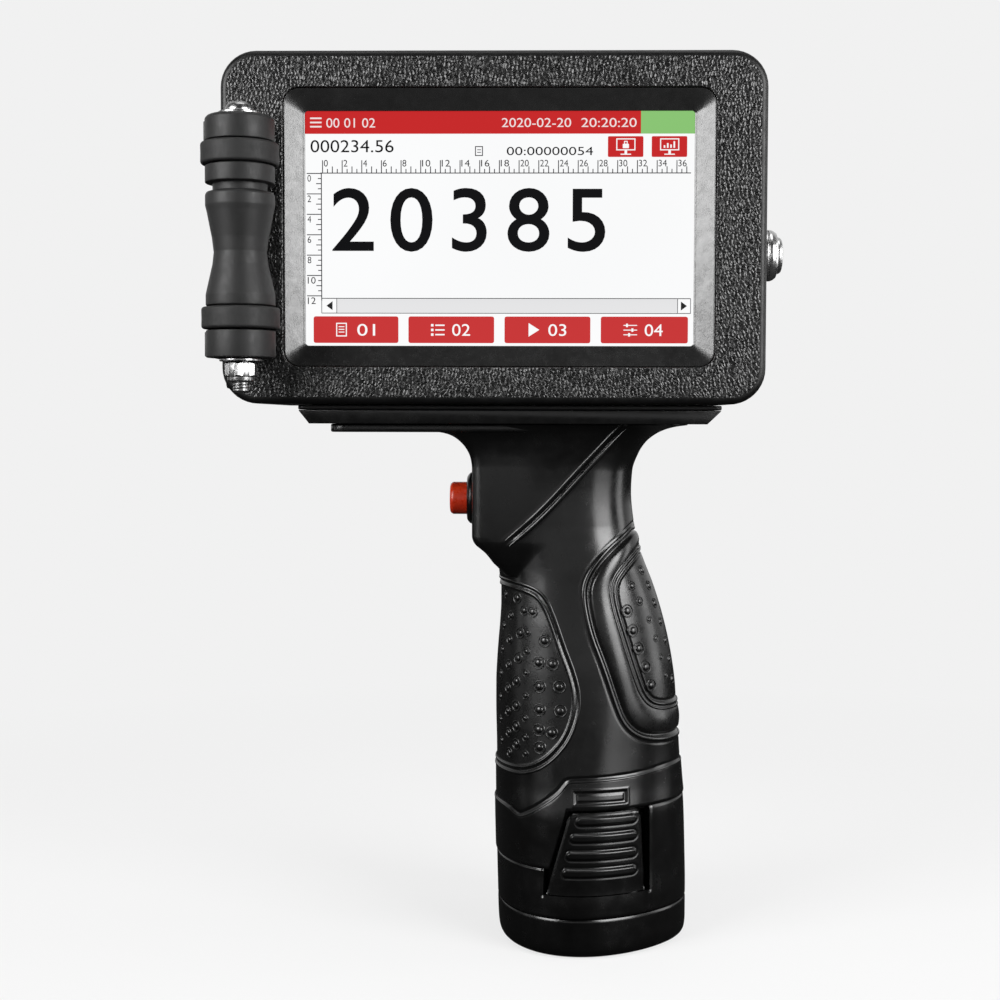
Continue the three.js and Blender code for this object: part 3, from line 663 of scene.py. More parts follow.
# ---------------------------------------------------------------- rollers, guide plate and brackets
THREAD_PITCH = 0.8
ROUND = 128  # sides of the large turned pieces


def thread(name, radius, low, high, depth, material, centre, segments=40):
    """A helical thread of triangular section, closed at both ends by its own taper."""
    half = THREAD_PITCH * 0.42
    steps = int((high - low) / THREAD_PITCH * segments)
    points, faces = [], []
    for i in range(steps + 1):
        a = 2 * math.pi * i / segments
        level = low + THREAD_PITCH * i / segments
        fade = min(1.0, i / segments * 2, (steps - i) / segments * 2)
        for dr, dz in ((-0.15, -half), (depth * fade, 0.0), (-0.15, half)):
            r = radius + dr
            points.append((r * math.cos(a), r * math.sin(a), level + dz * fade))
    for i in range(steps):
        a, b = i * 3, i * 3 + 3
        faces += [(a, b, b + 1, a + 1), (a + 1, b + 1, b + 2, a + 2), (a + 2, b + 2, b, a)]
    return mesh_object(name, np.array(points) + np.asarray(centre), faces, material, 30)


def hexagon(name, flats, low, high, material, centre, bore):
    """A hexagonal nut with turned chamfers on both faces."""
    angles = 2 * math.pi * np.arange(72) / 72
    apothem = flats / 2
    side = apothem / np.cos((angles + math.pi / 6) % (math.pi / 3) - math.pi / 6)
    sink = 0.15 + (side - apothem) * 0.55

    def ring(radius, level):
        flat = np.stack([radius * np.cos(angles), radius * np.sin(angles), level + 0 * angles], 1)
        return flat + np.asarray(centre)

    rings = [ring(bore, low + 0.01), ring(apothem - 0.05, low), ring(side, low + sink),
             ring(side, high - sink), ring(apothem - 0.05, high), ring(bore, high - 0.01)]
    return closed_loft(name, rings, material, 25)


SPOOL_PROFILE = [
    (2.8, 177.2), (8, 177.2), (8, 183.5), (9.3, 183.5), (9.3, 186.4), (9.05, 187.6), (7.45, 194.6),
    (7.1, 197.7),
    (7.1, 198), (7.15, 198.3), (7.55, 201.6), (8.9, 208.6), (9.3, 210.2), (9.3, 213), (8.9, 213.7),
    (7.3, 213.9),
    (7.3, 216), (9.3, 216.2), (9.3, 220.8), (8, 220.8), (8, 227), (2.8, 227),
]
TYRE_PROFILE = [(8.3, 0), (10.1, 0), (10.5, 0.5), (10.45, 2.9), (10.5, 5.3), (10.1, 5.8), (8.3, 5.8),
                (8.3, 0)]
TYRE_FEET = {"lower": 177.3, "upper": 221.1}
WASHER_PROFILE = [(2.8, 0), (5.8, 0), (5.8, 0.75), (2.8, 0.75), (2.8, 0)]
WASHER_FEET = {"upper": 234.35, "lower": 168.65}
DOME_PROFILE = [(0, 235.3), (3.9, 235.3), (3.9, 235.9), (3.55, 236.9), (2.7, 237.7), (1.4, 238.05),
                (0.6, 238.15), (0, 238.15)]
SHANK_PROFILE = [(0, 160.2), (1.75, 160.2), (2.15, 160.7), (2.15, 235.3)]
COLLAR_PROFILE = [(2.45, 163), (3.3, 163), (3.6, 163.4), (3.7, 164.7)]
INSERT_PROFILE = [(2.3, 163.25), (3.0, 163.1)]
LOWER_LUG = [(2.8, 169.6), (9.3, 169.6), (9.3, 176.9), (2.8, 176.9), (2.8, 169.6)]
UPPER_LUG = [(2.8, 227.3), (9.3, 227.3), (9.3, 233.2), (8.6, 234.0), (6.6, 234.2), (2.8, 234.2), (2.8, 227.3)]
ARM_HEIGHTS = [(169.9, 176.6), (227.6, 232.9)]
RIVET_HEIGHTS = (182.0, 219.0)


def make_spool(name, body, centre):
    spool = lathe(f"{name}_spool", SPOOL_PROFILE, SPOOL, "Z", centre, 0.3, ROUND, sharp=28)
    piece(spool, body, "roller_plastic", f"{name}_roller_spool")


def make_tyres(name, body, centre):
    for part, z in TYRE_FEET.items():
        ring = weld(lathe(f"{name}_tyre_ring_{part}", raised(TYRE_PROFILE, z), TYRE, "Z", centre, 0.3, ROUND))
        piece(ring, body, "tyre_rubber", f"{name}_tyre_{part}")


def make_washers(name, centre):
    for part, z in WASHER_FEET.items():
        ring = weld(lathe(f"{name}_washer_ring_{part}", raised(WASHER_PROFILE, z), STEEL, "Z", centre, 0.18))
        piece(ring, "printer", "plated_steel", f"{name}_washer_{part}")


def make_axle(name, centre):
    parts = [lathe("dome", DOME_PROFILE, STEEL, "Z", centre, 0.2),
             lathe("shank", SHANK_PROFILE, STEEL, "Z", centre, 0.1, 48),
             thread("stud_thread", 2.1, 160.9, 170, 0.3, STEEL, centre)]
    piece(merged(f"{name}_axle", parts), "printer", "plated_steel", f"{name}_axle_bolt")


def make_nut(name, centre):
    parts = [hexagon("nut", 8, 164.5, 168.4, STEEL, centre, 2.45),
             lathe("nut_collar", COLLAR_PROFILE, STEEL, "Z", centre, 0.2, 72),
             lathe("nut_insert", INSERT_PROFILE, SPOOL, "Z", centre, 0.0, 72)]
    piece(merged(f"{name}_nut", parts), "printer", "plated_steel", f"{name}_lock_nut")


def make_bracket(name, side, centre):
    """Two lugs round the axle, the arms that carry them, and the web riveted to the print end."""
    parts = [weld(lathe("lug", profile, SPOOL, "Z", centre, 0.35, ROUND))
             for profile in (LOWER_LUG, UPPER_LUG)]
    near, far = sorted((side * 20.2, side * 44))
    parts += [block("arm", (-106.85, near, z0), (-105.05, far, z1), ANODISED, 0.3) for z0, z1 in ARM_HEIGHTS]
    near, far = sorted((side * 13.95, side * 21))
    outline = [(near, 169.7), (far, 169.7), (far, 231.1), (near, 231.1)]
    parts.append(prism("web", outline, -106.9, -105.0, "X", ANODISED, 0.3))
    rivet = [(0, -106.7), (2.2, -106.7), (2.2, -106.95), (0, -106.95)]
    parts += [lathe("rivet", rivet, STEEL, "X", (0, side * 17.5, z), 0.2, 40) for z in RIVET_HEIGHTS]
    piece(merged(f"{name}_bracket", parts), "printer", "roller_plastic", f"{name}_roller_bracket")


def make_roller(name, side):
    low, high = cad_mm(f"{name}_roller_spool")
    centre = ((low[0] + high[0]) / 2, (low[1] + high[1]) / 2, 0)
    make_spool(name, f"{name}_roller", centre)
    make_tyres(name, f"{name}_roller", centre)
    make_washers(name, centre)
    make_axle(name, centre)
    make_nut(name, centre)
    make_bracket(name, side, centre)


def make_guide_plate():
    low, high = cad_mm("guide_plate")
    hole = rounded_box(-PRINT_WINDOW["y"], PRINT_WINDOW["z0"], PRINT_WINDOW["y"], PRINT_WINDOW["z1"], 0.6, 4)
    plate = prism("guide_plate_skin", rounded_box(low[1], low[2], high[1], high[2], 3.0, 6), low[0], high[0],
                  "X",
                  ANODISED, 0.25, holes=[hole])
    head = [(0, -106.7), (1.9, -106.7), (1.9, -106.9), (0, -106.9)]
    screws = [lathe("plate_screw", head, STEEL, "X", (0, y, z), 0.15, 36) for y in (-8.6, 8.6)
              for z in (166.2, 246.0)]
    piece(merged("guide_plate_face", [plate, *screws]), "printer", "anodised_bracket", "guide_plate")


make_roller("front", -1)
make_roller("rear", 1)
make_guide_plate()


# ---------------------------------------------------------------- cartridge


def make_cartridge():
    slot = block("slot", (-94, -6, 232), (-90.6, 6, 236), CARTRIDGE)
    shell = cut(block("shell", (-93, -10.7, 171), (-28, 10.7, 241.2), CARTRIDGE, 1.0), [slot])
    nose = block("nose", (-105.7, -9.5, 175), (-92.5, 9.5, 203), CARTRIDGE, 0.8)
    label = block("label", (-93.05, -8.2, 207), (-92.8, 8.2, 228), SPOOL, 0.1)
    ribs = [block("rib", (x, -10.75, 176), (x + 1.6, 10.75, 236), CARTRIDGE, 0.2)
            for x in range(-85, -36, 12)]
    shell = merged("cartridge_shell", [shell, nose, label, *ribs])
    piece(shell, "cartridge", "cartridge_plastic", "ink_cartridge")
    face = block("nozzle_face", (-106.4, -4.6, 180), (-106.0, 4.6, 198), COPPER, 0.12)
    rows = [block("nozzle_row", (-106.41, y - 0.25, 181.5), (-106.35, y + 0.25, 196.5), GLASS_EDGE, 0.02)
            for y in (-2.2, 2.2)]
    piece(merged("nozzle_face_plate", [face, *rows]), "cartridge", "nozzle_metal", "nozzle_plate")


make_cartridge()


# ---------------------------------------------------------------- power switch, data socket and trigger


def make_power_switch():
    low, high = cad_mm("power_switch_body")
    centre = (0, (low[1] + high[1]) / 2, (low[2] + high[2]) / 2)
    face, tip = HEAD_HIGH[0] + 0.2, high[0]
    body = [(5.5, face - 16), (5.9, face - 16), (5.9, face), (7.3, face), (7.3, face + 1.0),
            (6.85, face + 1.25),
            (7.2, face + 1.5), (7.2, face + 2.3), (6.85, tip - 0.7), (6.3, tip), (5.5, tip), (5.5, tip - 3)]
    ring = lathe("power_ring", body, BRUSHED, "X", centre, 0.14, ROUND, sharp=28)
    piece(ring, "printer", "switch_steel", "power_switch_body")
    top = cad_mm("power_button")[1][0]
    cap = [(0, face - 8), (5.15, face - 8), (5.15, top - 1.1), (4.75, top - 0.5), (4.1, top - 0.25),
           (3.5, top - 0.5), (2.6, top - 0.45), (1.2, top - 0.1), (0, top)]
    cap = lathe("power_cap", cap, BRUSHED, "X", centre, 0.22, ROUND)
    piece(cap, "power_key", "switch_steel", "power_button")


def make_usb_port():
    """A thin steel sleeve with a dark tongue and its contacts inside."""
    low, high = cad_mm("usb_socket")
    (back, y0, z0), (front, y1, z1) = low, high
    y, z = (y0 + y1) / 2, (z0 + z1) / 2
    room = rounded_box(y0 + 0.5, z0 + 0.5, y1 - 0.5, z1 - 0.5, 0.4, 4)
    sleeve = prism("usb_sleeve", rounded_box(y0, z0, y1, z1, 0.6, 4), back, front, "X", BRUSHED, 0.12,
                   holes=[room])
    floor = block("usb_floor", (back + 0.3, y0 + 0.4, z0 + 0.4), (back + 4, y1 - 0.4, z1 - 0.4), INNER)
    tongue = block("usb_tongue", (back + 3, y - 5.3, z + 0.3), (front - 1.8, y + 5.3, z + 2), INNER, 0.25)
    strips = [block("usb_contact", (back + 4, y + along - 0.55, z + 0.12),
                    (front - 2.4, y + along + 0.55, z + 0.4),
                    COPPER, 0.05) for along in (-3.5, -1.2, 1.2, 3.5)]
    piece(merged("usb_port", [sleeve, floor, tongue, *strips]), "printer", "plated_steel", "usb_socket")


def make_trigger():
    low, high = cad_mm("trigger_switch_body")
    centre = (0, 0, (low[2] + high[2]) / 2)
    face, front = -35.6, low[0]
    body = [(5.1, face + 8), (5.1, front + 0.6), (5.3, front + 0.1), (6.3, front), (6.9, front + 0.35),
            (7.6, face - 0.9), (7.6, face - 0.2), (5.9, face - 0.2), (5.9, face + 20), (5.1, face + 20)]
    ring = lathe("trigger_ring", body, GLOSS_CUT, "X", centre, 0.2, ROUND)
    piece(ring, "printer", "inner_plastic", "trigger_switch_body")
    tip = cad_mm("trigger_button")[0][0]
    cap = [(0, tip + 0.25), (2.4, tip + 0.12), (3.6, tip), (4.35, tip + 0.25), (4.8, tip + 0.95),
           (4.8, face + 9), (0, face + 9)]
    piece(lathe("trigger_cap", cap, RED, "X", centre, 0.3, ROUND), "trigger", "trigger_red", "trigger_button")


make_power_switch()
make_usb_port()
make_trigger()


# ---------------------------------------------------------------- display
PANEL_WIDTH = SCREEN["x1"] - SCREEN["x0"]
PANEL_HEIGHT = SCREEN["z1"] - SCREEN["z0"]
GLASS_FRONT = cad_mm("touch_glass")[0][1]
LAYER_STEP = 0.03
# Layers of the picture, from the paper up to the knobs of the slider signs.
PAPER, FIELD, MARK, ICON, SIGN, KNOB = range(1, 7)
RULER_STEP = 5.46
RULER_ROW = 5.64
RULER_LEFT, RULER_TOP = 4.7, 16.85
RULER_LINE = 0.26

DISPLAY_COLOURS = {
    "white": lit("display_white", (0.99, 0.995, 1.0)),
    "red": lit("display_red", (0.585, 0.021, 0.022)),
    "green": lit("display_green", (0.26, 0.57, 0.18)),
    "ink": lit("display_ink", (0.004, 0.004, 0.005)),
    "line": lit("display_line", (0.035, 0.035, 0.04)),
    "track": lit("display_track", (0.8, 0.8, 0.81)),
    "pale": lit("display_pale", (0.9, 0.78, 0.78)),
}
drawn = {colour: [] for colour in DISPLAY_COLOURS}


def spot(u, v, layer):
    """A place on the display, from its top left corner."""
    return (SCREEN["x0"] + u, GLASS_FRONT - LAYER_STEP * layer, SCREEN["z1"] - v)


def draw(colour, outline, layer):
    """A flat patch inside an outline of (u, v) points."""
    points = [spot(u, v, layer) for u, v in outline]
    triangles = tessellate_polygon([[Vector((u, v, 0)) for u, v in outline]])
    faces = []
    for a, b, c in triangles:
        pa, pb, pc = (outline[k] for k in (a, b, c))
        turn = (pb[0] - pa[0]) * (pc[1] - pa[1]) - (pb[1] - pa[1]) * (pc[0] - pa[0])
        faces.append((a, c, b) if turn > 0 else (a, b, c))
    drawn[colour].append(mesh_object("patch", points, faces, DISPLAY_COLOURS[colour], None))


def box_at(colour, u0, v0, u1, v1, layer, radius=0.0):
    corners = [(u0, v0), (u1, v0), (u1, v1), (u0, v1)]
    if radius:
        corners = [tuple(p) for p in rounded_box(u0, v0, u1, v1, radius, 5)]
    draw(colour, corners, layer)


def frame_at(colour, u0, v0, u1, v1, width, layer):
    box_at(colour, u0, v0, u1, v0 + width, layer)
    box_at(colour, u0, v1 - width, u1, v1, layer)
    box_at(colour, u0, v0 + width, u0 + width, v1 - width, layer)
    box_at(colour, u1 - width, v0 + width, u1, v1 - width, layer)


def write(colour, text, u0, v0, u1, v1, layer, spacing=1.0, weight=0.0):
    """Digits stretched to fill a box."""
    curve = bpy.data.curves.new("digits", "FONT")
    curve.body = text
    curve.space_character = spacing
    curve.offset = weight
    curve.resolution_u = 6
    holder = in_scene("digits", curve)
    bpy.context.view_layer.update()
    mesh = bpy.data.meshes.new_from_object(holder.evaluated_get(bpy.context.evaluated_depsgraph_get()))
    flat = np.array([v.co for v in mesh.vertices])[:, :2]
    low, high = flat.min(0), flat.max(0)
    scaled = (flat - low) / (high - low)
    points = [spot(u0 + (u1 - u0) * x, v1 - (v1 - v0) * y, layer) for x, y in scaled]
    faces = [tuple(p.vertices) for p in mesh.polygons]
    bpy.data.objects.remove(holder)
    bpy.data.meshes.remove(mesh)
    made = mesh_object("digits_mesh", points, faces, DISPLAY_COLOURS[colour], None)
    if made.data.polygons and sum(p.normal.y for p in made.data.polygons) > 0:
        made.data.flip_normals()
    drawn[colour].append(made)


def draw_rulers():
    """A ruler along the top and one down the left, each with a number at its long marks."""
    left, top = RULER_LEFT, RULER_TOP
    box_at("line", 4.2, top, 107, top + 0.27, FIELD)
    for k in range(75):
        u = left + k * RULER_STEP / 4
        tall = {0: 3.4, 2: 1.7}.get(k % 4, 1.0)
        box_at("line", u, top - tall, u + RULER_LINE, top, FIELD)
    for k in range(19):
        u = left + k * RULER_STEP + 0.5
        write("ink", str(2 * k), u, top - 3.5, u + (1.1 if k < 5 else 2.3), top - 1.65, FIELD)
    box_at("line", 4.35, top, 4.62, 52.2, FIELD)
    for k in range(25):
        v = top + 0.1 + k * RULER_ROW / 4
        wide = {0: 4.0, 2: 1.4}.get(k % 4, 0.9)
        box_at("line", 4.4 - wide, v, 4.4, v + RULER_LINE, FIELD)
    for k in range(7):
        v = top + 0.65 + k * RULER_ROW
        write("ink", str(2 * k), 0.6, v, 0.6 + (1.0 if k < 5 else 2.2), v + 1.85, FIELD)


def draw_monitor(u, v, bars):
    """A white pictogram of a monitor, with bars or a padlock on it."""
    frame_at("white", u + 2.3, v + 0.6, u + 7.6, v + 3.9, 0.3, ICON)
    box_at("white", u + 4.6, v + 3.9, u + 5.3, v + 4.8, ICON)
    box_at("white", u + 3.5, v + 4.8, u + 6.4, v + 5.1, ICON)
    if bars:
        for i, tall in enumerate((0.7, 1.3, 0.9, 1.8)):
            box_at("white", u + 3.3 + i * 0.9, v + 3.2 - tall, u + 3.75 + i * 0.9, v + 3.2, ICON)
    else:
        box_at("white", u + 4.1, v + 2.1, u + 5.8, v + 3.3, ICON, 0.15)
        frame_at("white", u + 4.45, v + 1.3, u + 5.45, v + 2.3, 0.24, ICON)


def draw_button_sign(kind, u, v):
    """White pictograms for the four buttons, each followed by its number."""
    if kind == 0:
        frame_at("white", u, v, u + 3.0, v + 3.8, 0.3, SIGN)
        for i in range(3):
            box_at("white", u + 0.7, v + 0.95 + 0.75 * i, u + 2.3, v + 1.2 + 0.75 * i, SIGN)
    elif kind == 1:
        for i in range(3):
            box_at("white", u, v + 0.3 + 1.3 * i, u + 0.7, v + 1.0 + 1.3 * i, SIGN)
            box_at("white", u + 1.2, v + 0.45 + 1.3 * i, u + 3.8, v + 0.85 + 1.3 * i, SIGN)
    elif kind == 2:
        draw("white", [(u + 0.4, v), (u + 3.4, v + 1.9), (u + 0.4, v + 3.8)], SIGN)
    else:
        for i, shift in enumerate((0.7, 2.2, 1.3)):
            box_at("white", u, v + 0.5 + 1.3 * i, u + 3.8, v + 0.75 + 1.3 * i, SIGN)
            box_at("white", u + shift, v + 0.15 + 1.3 * i, u + shift + 0.55, v + 1.1 + 1.3 * i, KNOB)


def draw_display():
    box_at("white", 0, 0, PANEL_WIDTH, PANEL_HEIGHT, PAPER)
    box_at("red", 0, 0, 93.1, 6.2, FIELD)
    box_at("green", 93.1, 0, PANEL_WIDTH, 6.2, FIELD)
    for i in range(3):
        box_at("pale", 1.4, 1.7 + 1.15 * i, 4.6, 2.15 + 1.15 * i, MARK)
    write("pale", "00 01 02", 5.9, 1.9, 19.5, 4.5, MARK)
    write("pale", "2020-02-20", 54.6, 1.9, 73.8, 4.4, MARK)
    write("pale", "20:20:20", 76.6, 1.9, 91.9, 4.4, MARK)
    write("ink", "000234.56", 1.5, 7.9, 24.6, 11.3, FIELD)
    frame_at("line", 47.2, 9.6, 49.4, 12.3, 0.25, FIELD)
    for i in range(2):
        box_at("line", 47.8, 10.5 + 0.7 * i, 48.9, 10.7 + 0.7 * i, FIELD)
    write("ink", "00:00000054", 56.0, 9.8, 79.9, 12.1, FIELD)
    for u, bars in ((84.0, False), (96.1, True)):
        box_at("red", u, 6.9, u + 9.8, 12.6, MARK, 0.4)
        draw_monitor(u, 6.9, bars)
    draw_rulers()
    write("ink", "20385", 7.5, 21.1, 83.4, 38.7, MARK, spacing=1.25, weight=0.006)
    box_at("line", 4.4, 51.5, 107.2, 51.72, FIELD)
    box_at("track", 8.8, 51.8, 103.5, 55.5, FIELD)
    box_at("line", 4.4, 55.6, 107.2, 55.8, FIELD)
    for u in (4.4, 8.6, 103.5, 107.1):
        box_at("line", u, 51.6, u + 0.18, 55.7, MARK)
    draw("ink", [(7.5, 52.4), (7.5, 54.9), (5.8, 53.65)], MARK)
    draw("ink", [(104.5, 52.4), (106.2, 53.65), (104.5, 54.9)], MARK)
    for i, (u0, u1) in enumerate(((2.2, 25.9), (28.7, 52.6), (55.5, 79.4), (82.3, 106.5))):
        box_at("red", u0, 56.6, u1, 64.0, MARK, 0.7)
        draw_button_sign(i, u0 + 6.3, 58.4)
        write("white", f"0{i + 1}", u0 + 12.2, 58.7, u0 + 17.2, 62.0, SIGN)
    for colour, objects in drawn.items():
        piece(merged(f"display_{colour}_areas", objects, DISPLAY_COLOURS[colour], None), "printer",
              "screen_glass")


draw_display()


# ---------------------------------------------------------------- handle surface
# Height, front and back edges, half depth, squareness, and how much the back is narrower.
STATIONS = np.array([
    (0.0, -24.9, 25.3, 25.0, 1.95, 0.2), (0.4, -26.2, 26.6, 27.2, 1.95, 0.2),
    (1.1, -27.0, 27.4, 28.1, 1.95, 0.2), (2.4, -27.5, 27.9, 28.5, 1.95, 0.2),
    (5.0, -27.8, 28.1, 28.6, 1.95, 0.2), (14.6, -28.1, 28.1, 28.6, 1.95, 0.2),
    (24.0, -28.35, 27.9, 28.0, 1.95, 0.19), (39.0, -28.7, 27.4, 27.8, 1.96, 0.17),
    (48.0, -28.8, 26.6, 26.5, 1.98, 0.15), (57.2, -28.9, 25.9, 25.6, 2.03, 0.13),
    (69.3, -29.15, 25.3, 24.6, 2.12, 0.1), (75.4, -29.15, 24.9, 24.1, 2.14, 0.09),
    (81.4, -28.9, 24.1, 23.6, 2.18, 0.08), (87.4, -28.5, 23.0, 23.0, 2.2, 0.07),
    (93.4, -28.0, 21.6, 22.4, 2.25, 0.06), (99.4, -27.7, 19.9, 21.7, 2.3, 0.04),
    (105.4, -27.7, 17.9, 21.0, 2.35, 0.02), (111.4, -28.3, 15.5, 20.3, 2.4, 0.0),
    (117.3, -28.9, 13.4, 19.8, 2.45, 0.0), (123.0, -29.4, 12.0, 19.4, 2.5, 0.0),
    (132.2, -29.9, 11.1, 19.2, 2.6, 0.0), (138.2, -30.0, 11.4, 19.4, 2.7, 0.0),
    (143.5, -30.0, 13.2, 19.9, 2.8, 0.0), (146.6, -30.0, 15.2, 20.5, 2.9, 0.0),
    (148.6, -30.0, 17.5, 21.1, 3.0, 0.0), (149.8, -30.0, 19.6, 21.5, 3.1, 0.0),
    (150.8, -30.0, 22.4, 22.0, 3.2, 0.0), (151.4, -30.0, 25.6, 22.4, 3.2, 0.0),
    (151.6, -30.0, 27.4, 22.6, 3.2, 0.0),
])
# The front edge of the squared block that holds the trigger, and how far it reaches to each side.
BLOCK = np.array([
    (108.0, -26.0, 15.0), (110.5, -28.4, 16.4), (111.6, -29.5, 17.0), (113.2, -30.7, 17.6),
    (114.6, -31.9, 18.0), (115.8, -33.3, 18.3), (116.8, -34.5, 18.5), (118.0, -35.3, 18.6),
    (119.4, -35.65, 18.6), (139.2, -35.7, 18.6), (142.0, -36.1, 18.7), (144.5, -37.2, 18.9),
    (146.6, -38.9, 19.3), (148.2, -41.0, 19.9), (149.1, -43.2, 20.4), (149.7, -46.2, 20.8),
    (151.6, -47.5, 21.4),
])
TOP = 151.6
BLOCK_SQUARENESS = 14.0
BLOCK_BLEND = 1.1


def monotone(x, y, at):
    """Piecewise cubic through (x, y) that doesn't overshoot."""
    step = np.diff(x)
    slope = np.diff(y) / step
    tangent = np.zeros(len(x))
    for i in range(1, len(x) - 1):
        if slope[i - 1] * slope[i] > 0:
            a, b = 2 * step[i] + step[i - 1], step[i] + 2 * step[i - 1]
            tangent[i] = (a + b) / (a / slope[i - 1] + b / slope[i])
    tangent[0], tangent[-1] = slope[0], slope[-1]
    i = np.clip(np.searchsorted(x, at) - 1, 0, len(x) - 2)
    t = np.clip((at - x[i]) / step[i], 0, 1)
    h = step[i]
    return ((1 + 2 * t) * (1 - t) ** 2 * y[i] + t * (1 - t) ** 2 * h * tangent[i]
            + t * t * (3 - 2 * t) * y[i + 1] + t * t * (t - 1) * h * tangent[i + 1])


def station_at(z):
    return [monotone(STATIONS[:, 0], STATIONS[:, k], z) for k in range(1, 6)]


def block_at(z):
    """The front edge and half width of the trigger's block."""
    return [monotone(BLOCK[:, 0], BLOCK[:, k], z) for k in (1, 2)]


def grip_point(angle, z, inset=0.0):
    """The handle's bare surface. Angle 0 is the back (+X), pi the front, and 3/2 pi the screen side."""
    front, back, half, square, taper = station_at(z)
    middle, a, b = (front + back) / 2, (back - front) / 2 - inset, half - inset
    c, s = np.cos(angle), np.sin(angle)
    x = np.sign(c) * np.abs(c) ** (2 / square)
    y = np.sign(s) * np.abs(s) ** (2 / square) * (1 - taper * x)
    px, py = middle + a * x, b * y
    block_front, block_half = block_at(z)
    reach = np.hypot(px - middle, py)
    ux, uy = (px - middle) / np.maximum(reach, 1e-9), py / np.maximum(reach, 1e-9)
    # Distance along the same ray to the block's squared outline, with its vertical edges rounded.
    to_front = (middle - block_front - inset) / np.maximum(-ux, 1e-9)
    to_side = (block_half - inset) / np.maximum(np.abs(uy), 1e-9)
    to_block = (to_front**-BLOCK_SQUARENESS + to_side**-BLOCK_SQUARENESS) ** (-1 / BLOCK_SQUARENESS)
    inside = (ux < 0) & (z > BLOCK[0, 0])
    to_block = np.where(inside, to_block, 0.0)
    gap = np.clip(0.5 + 0.5 * (to_block - reach) / BLOCK_BLEND, 0, 1)
    joined = reach * (1 - gap) + to_block * gap + BLOCK_BLEND * gap * (1 - gap)
    joined = np.where(inside, joined, reach)
    return np.stack([middle + ux * joined, uy * joined, z + 0 * px], -1)


def distance_to(curve, x, z):
    """Signed distance from points to a polyline: positive on its left, going along it."""
    best = np.full(x.shape, 1e9)
    sign = np.ones(x.shape)
    for (x0, z0), (x1, z1) in zip(curve, curve[1:]):
        dx, dz = x1 - x0, z1 - z0
        length = math.hypot(dx, dz)
        t = np.clip(((x - x0) * dx + (z - z0) * dz) / length**2, 0, 1)
        gap = np.hypot(x - x0 - dx * t, z - z0 - dz * t)
        side = np.where(dx * (z - z0) - dz * (x - x0) >= 0, 1.0, -1.0)
        closer = gap < best
        best = np.where(closer, gap, best)
        sign = np.where(closer, side, sign)
    return best * sign


def smooth_curve(points, rounds=3):
    """Chaikin's corner cutting."""
    points = np.array(points, float)
    for _ in range(rounds):
        before, after = points[:-1], points[1:]
        mixed = np.empty((2 * len(before), 2))
        mixed[0::2] = before * 0.75 + after * 0.25
        mixed[1::2] = before * 0.25 + after * 0.75
        points = np.vstack([points[:1], mixed, points[-1:]])
    return [tuple(p) for p in points]


def bump_at(d, centre, width, height):
    """A rounded bead across a line: width is its full foot."""
    t = (d - centre) / (width / 2)
    return height * np.clip(1 - t * t, 0, 1) ** 1.5


RIB = smooth_curve([(8.4, 151.8), (6.9, 150.3), (1.6, 144.5), (-4.4, 138.2), (-13.2, 128.5), (-20.2, 121.8),
                    (-25.6, 117.4)], 3)
PALM = smooth_curve([(40, 121.5), (12.9, 122.0), (10.4, 120.4), (3.0, 114.5), (-2.0, 108.0), (-2.9, 102.5),
                     (-0.8, 92.5), (3.0, 83.1), (6.4, 72.8), (8.7, 67.0), (12.3, 63.4), (17, 61.7),
                     (24.3, 61.0), (40, 61.0)], 3)
PALM_INNER = smooth_curve([(40, 117.0), (16.6, 117.2), (13.7, 114.7), (9.0, 110.6), (5.7, 106.2),
                           (6.0, 100.8), (9.6, 89.4), (12.5, 80.5), (14.7, 74.4), (17.8, 71.3), (24.5, 70.5),
                           (40, 70.5)], 3)
FINGER = smooth_curve([(-40, 106.4), (-27.0, 106.1), (-21.6, 105.3), (-17.3, 104.1), (-14.4, 101.4),
                       (-12.2, 96.3), (-9.3, 87.9), (-6.5, 80.8), (-5.0, 74.6), (-5.5, 68.9), (-7.8, 62.4),
                       (-12.0, 57.2), (-16.3, 53.8), (-21.2, 51.9), (-25.5, 51.6), (-40, 51.6)], 3)
STEP = smooth_curve([(-40, 41.0), (-25.5, 41.2), (-22.4, 39.3), (-21.0, 39.2), (-16, 42.5), (-10.3, 46.9),
                     (-8.2, 50.0), (-7.0, 50.5), (4.8, 50.9), (13.1, 51.4), (19.6, 52.3), (25, 52.5),
                     (40, 52.5)], 2)
PAD = (-6.1, 9.0, 44.0, 47.8)
SCREWS = [tuple((np.array(cad_mm(f"handle_screw_{i}")[0]) + np.array(cad_mm(f"handle_screw_{i}")[1])) / 2)
          for i in (1, 2, 3)]


SCREW_WELL = 3.75  # radius of the hole round a handle screw
RIB_FOOT = 116.5


def band_between(palm, inner):
    """The raised band between the two outlines of the palm grip."""
    share = np.clip((palm - 1.2) / np.maximum(palm - inner - 3.2, 1e-6), 0, 1)
    return np.where((palm > 1.2) & (inner < -2.0), 0.45 * np.sin(np.pi * share) ** 0.7, 0)


def pad_relief(x, z):
    """The small sunk pad above the latch, with a rim round it."""
    x0, x1, z0, z1 = PAD
    inside = np.minimum(np.minimum(x - x0, x1 - x), np.minimum(z - z0, z1 - z))
    return (bump_at(inside, -0.3, 0.8, 0.12) - 0.32 * smooth_step(inside / 0.45)
            + 0.2 * smooth_step((inside - 0.8) / 0.4))


def shell_joint(y, width, depth):
    """The groove where the left and right halves meet."""
    return bump_at(np.abs(y), 0, width, depth)


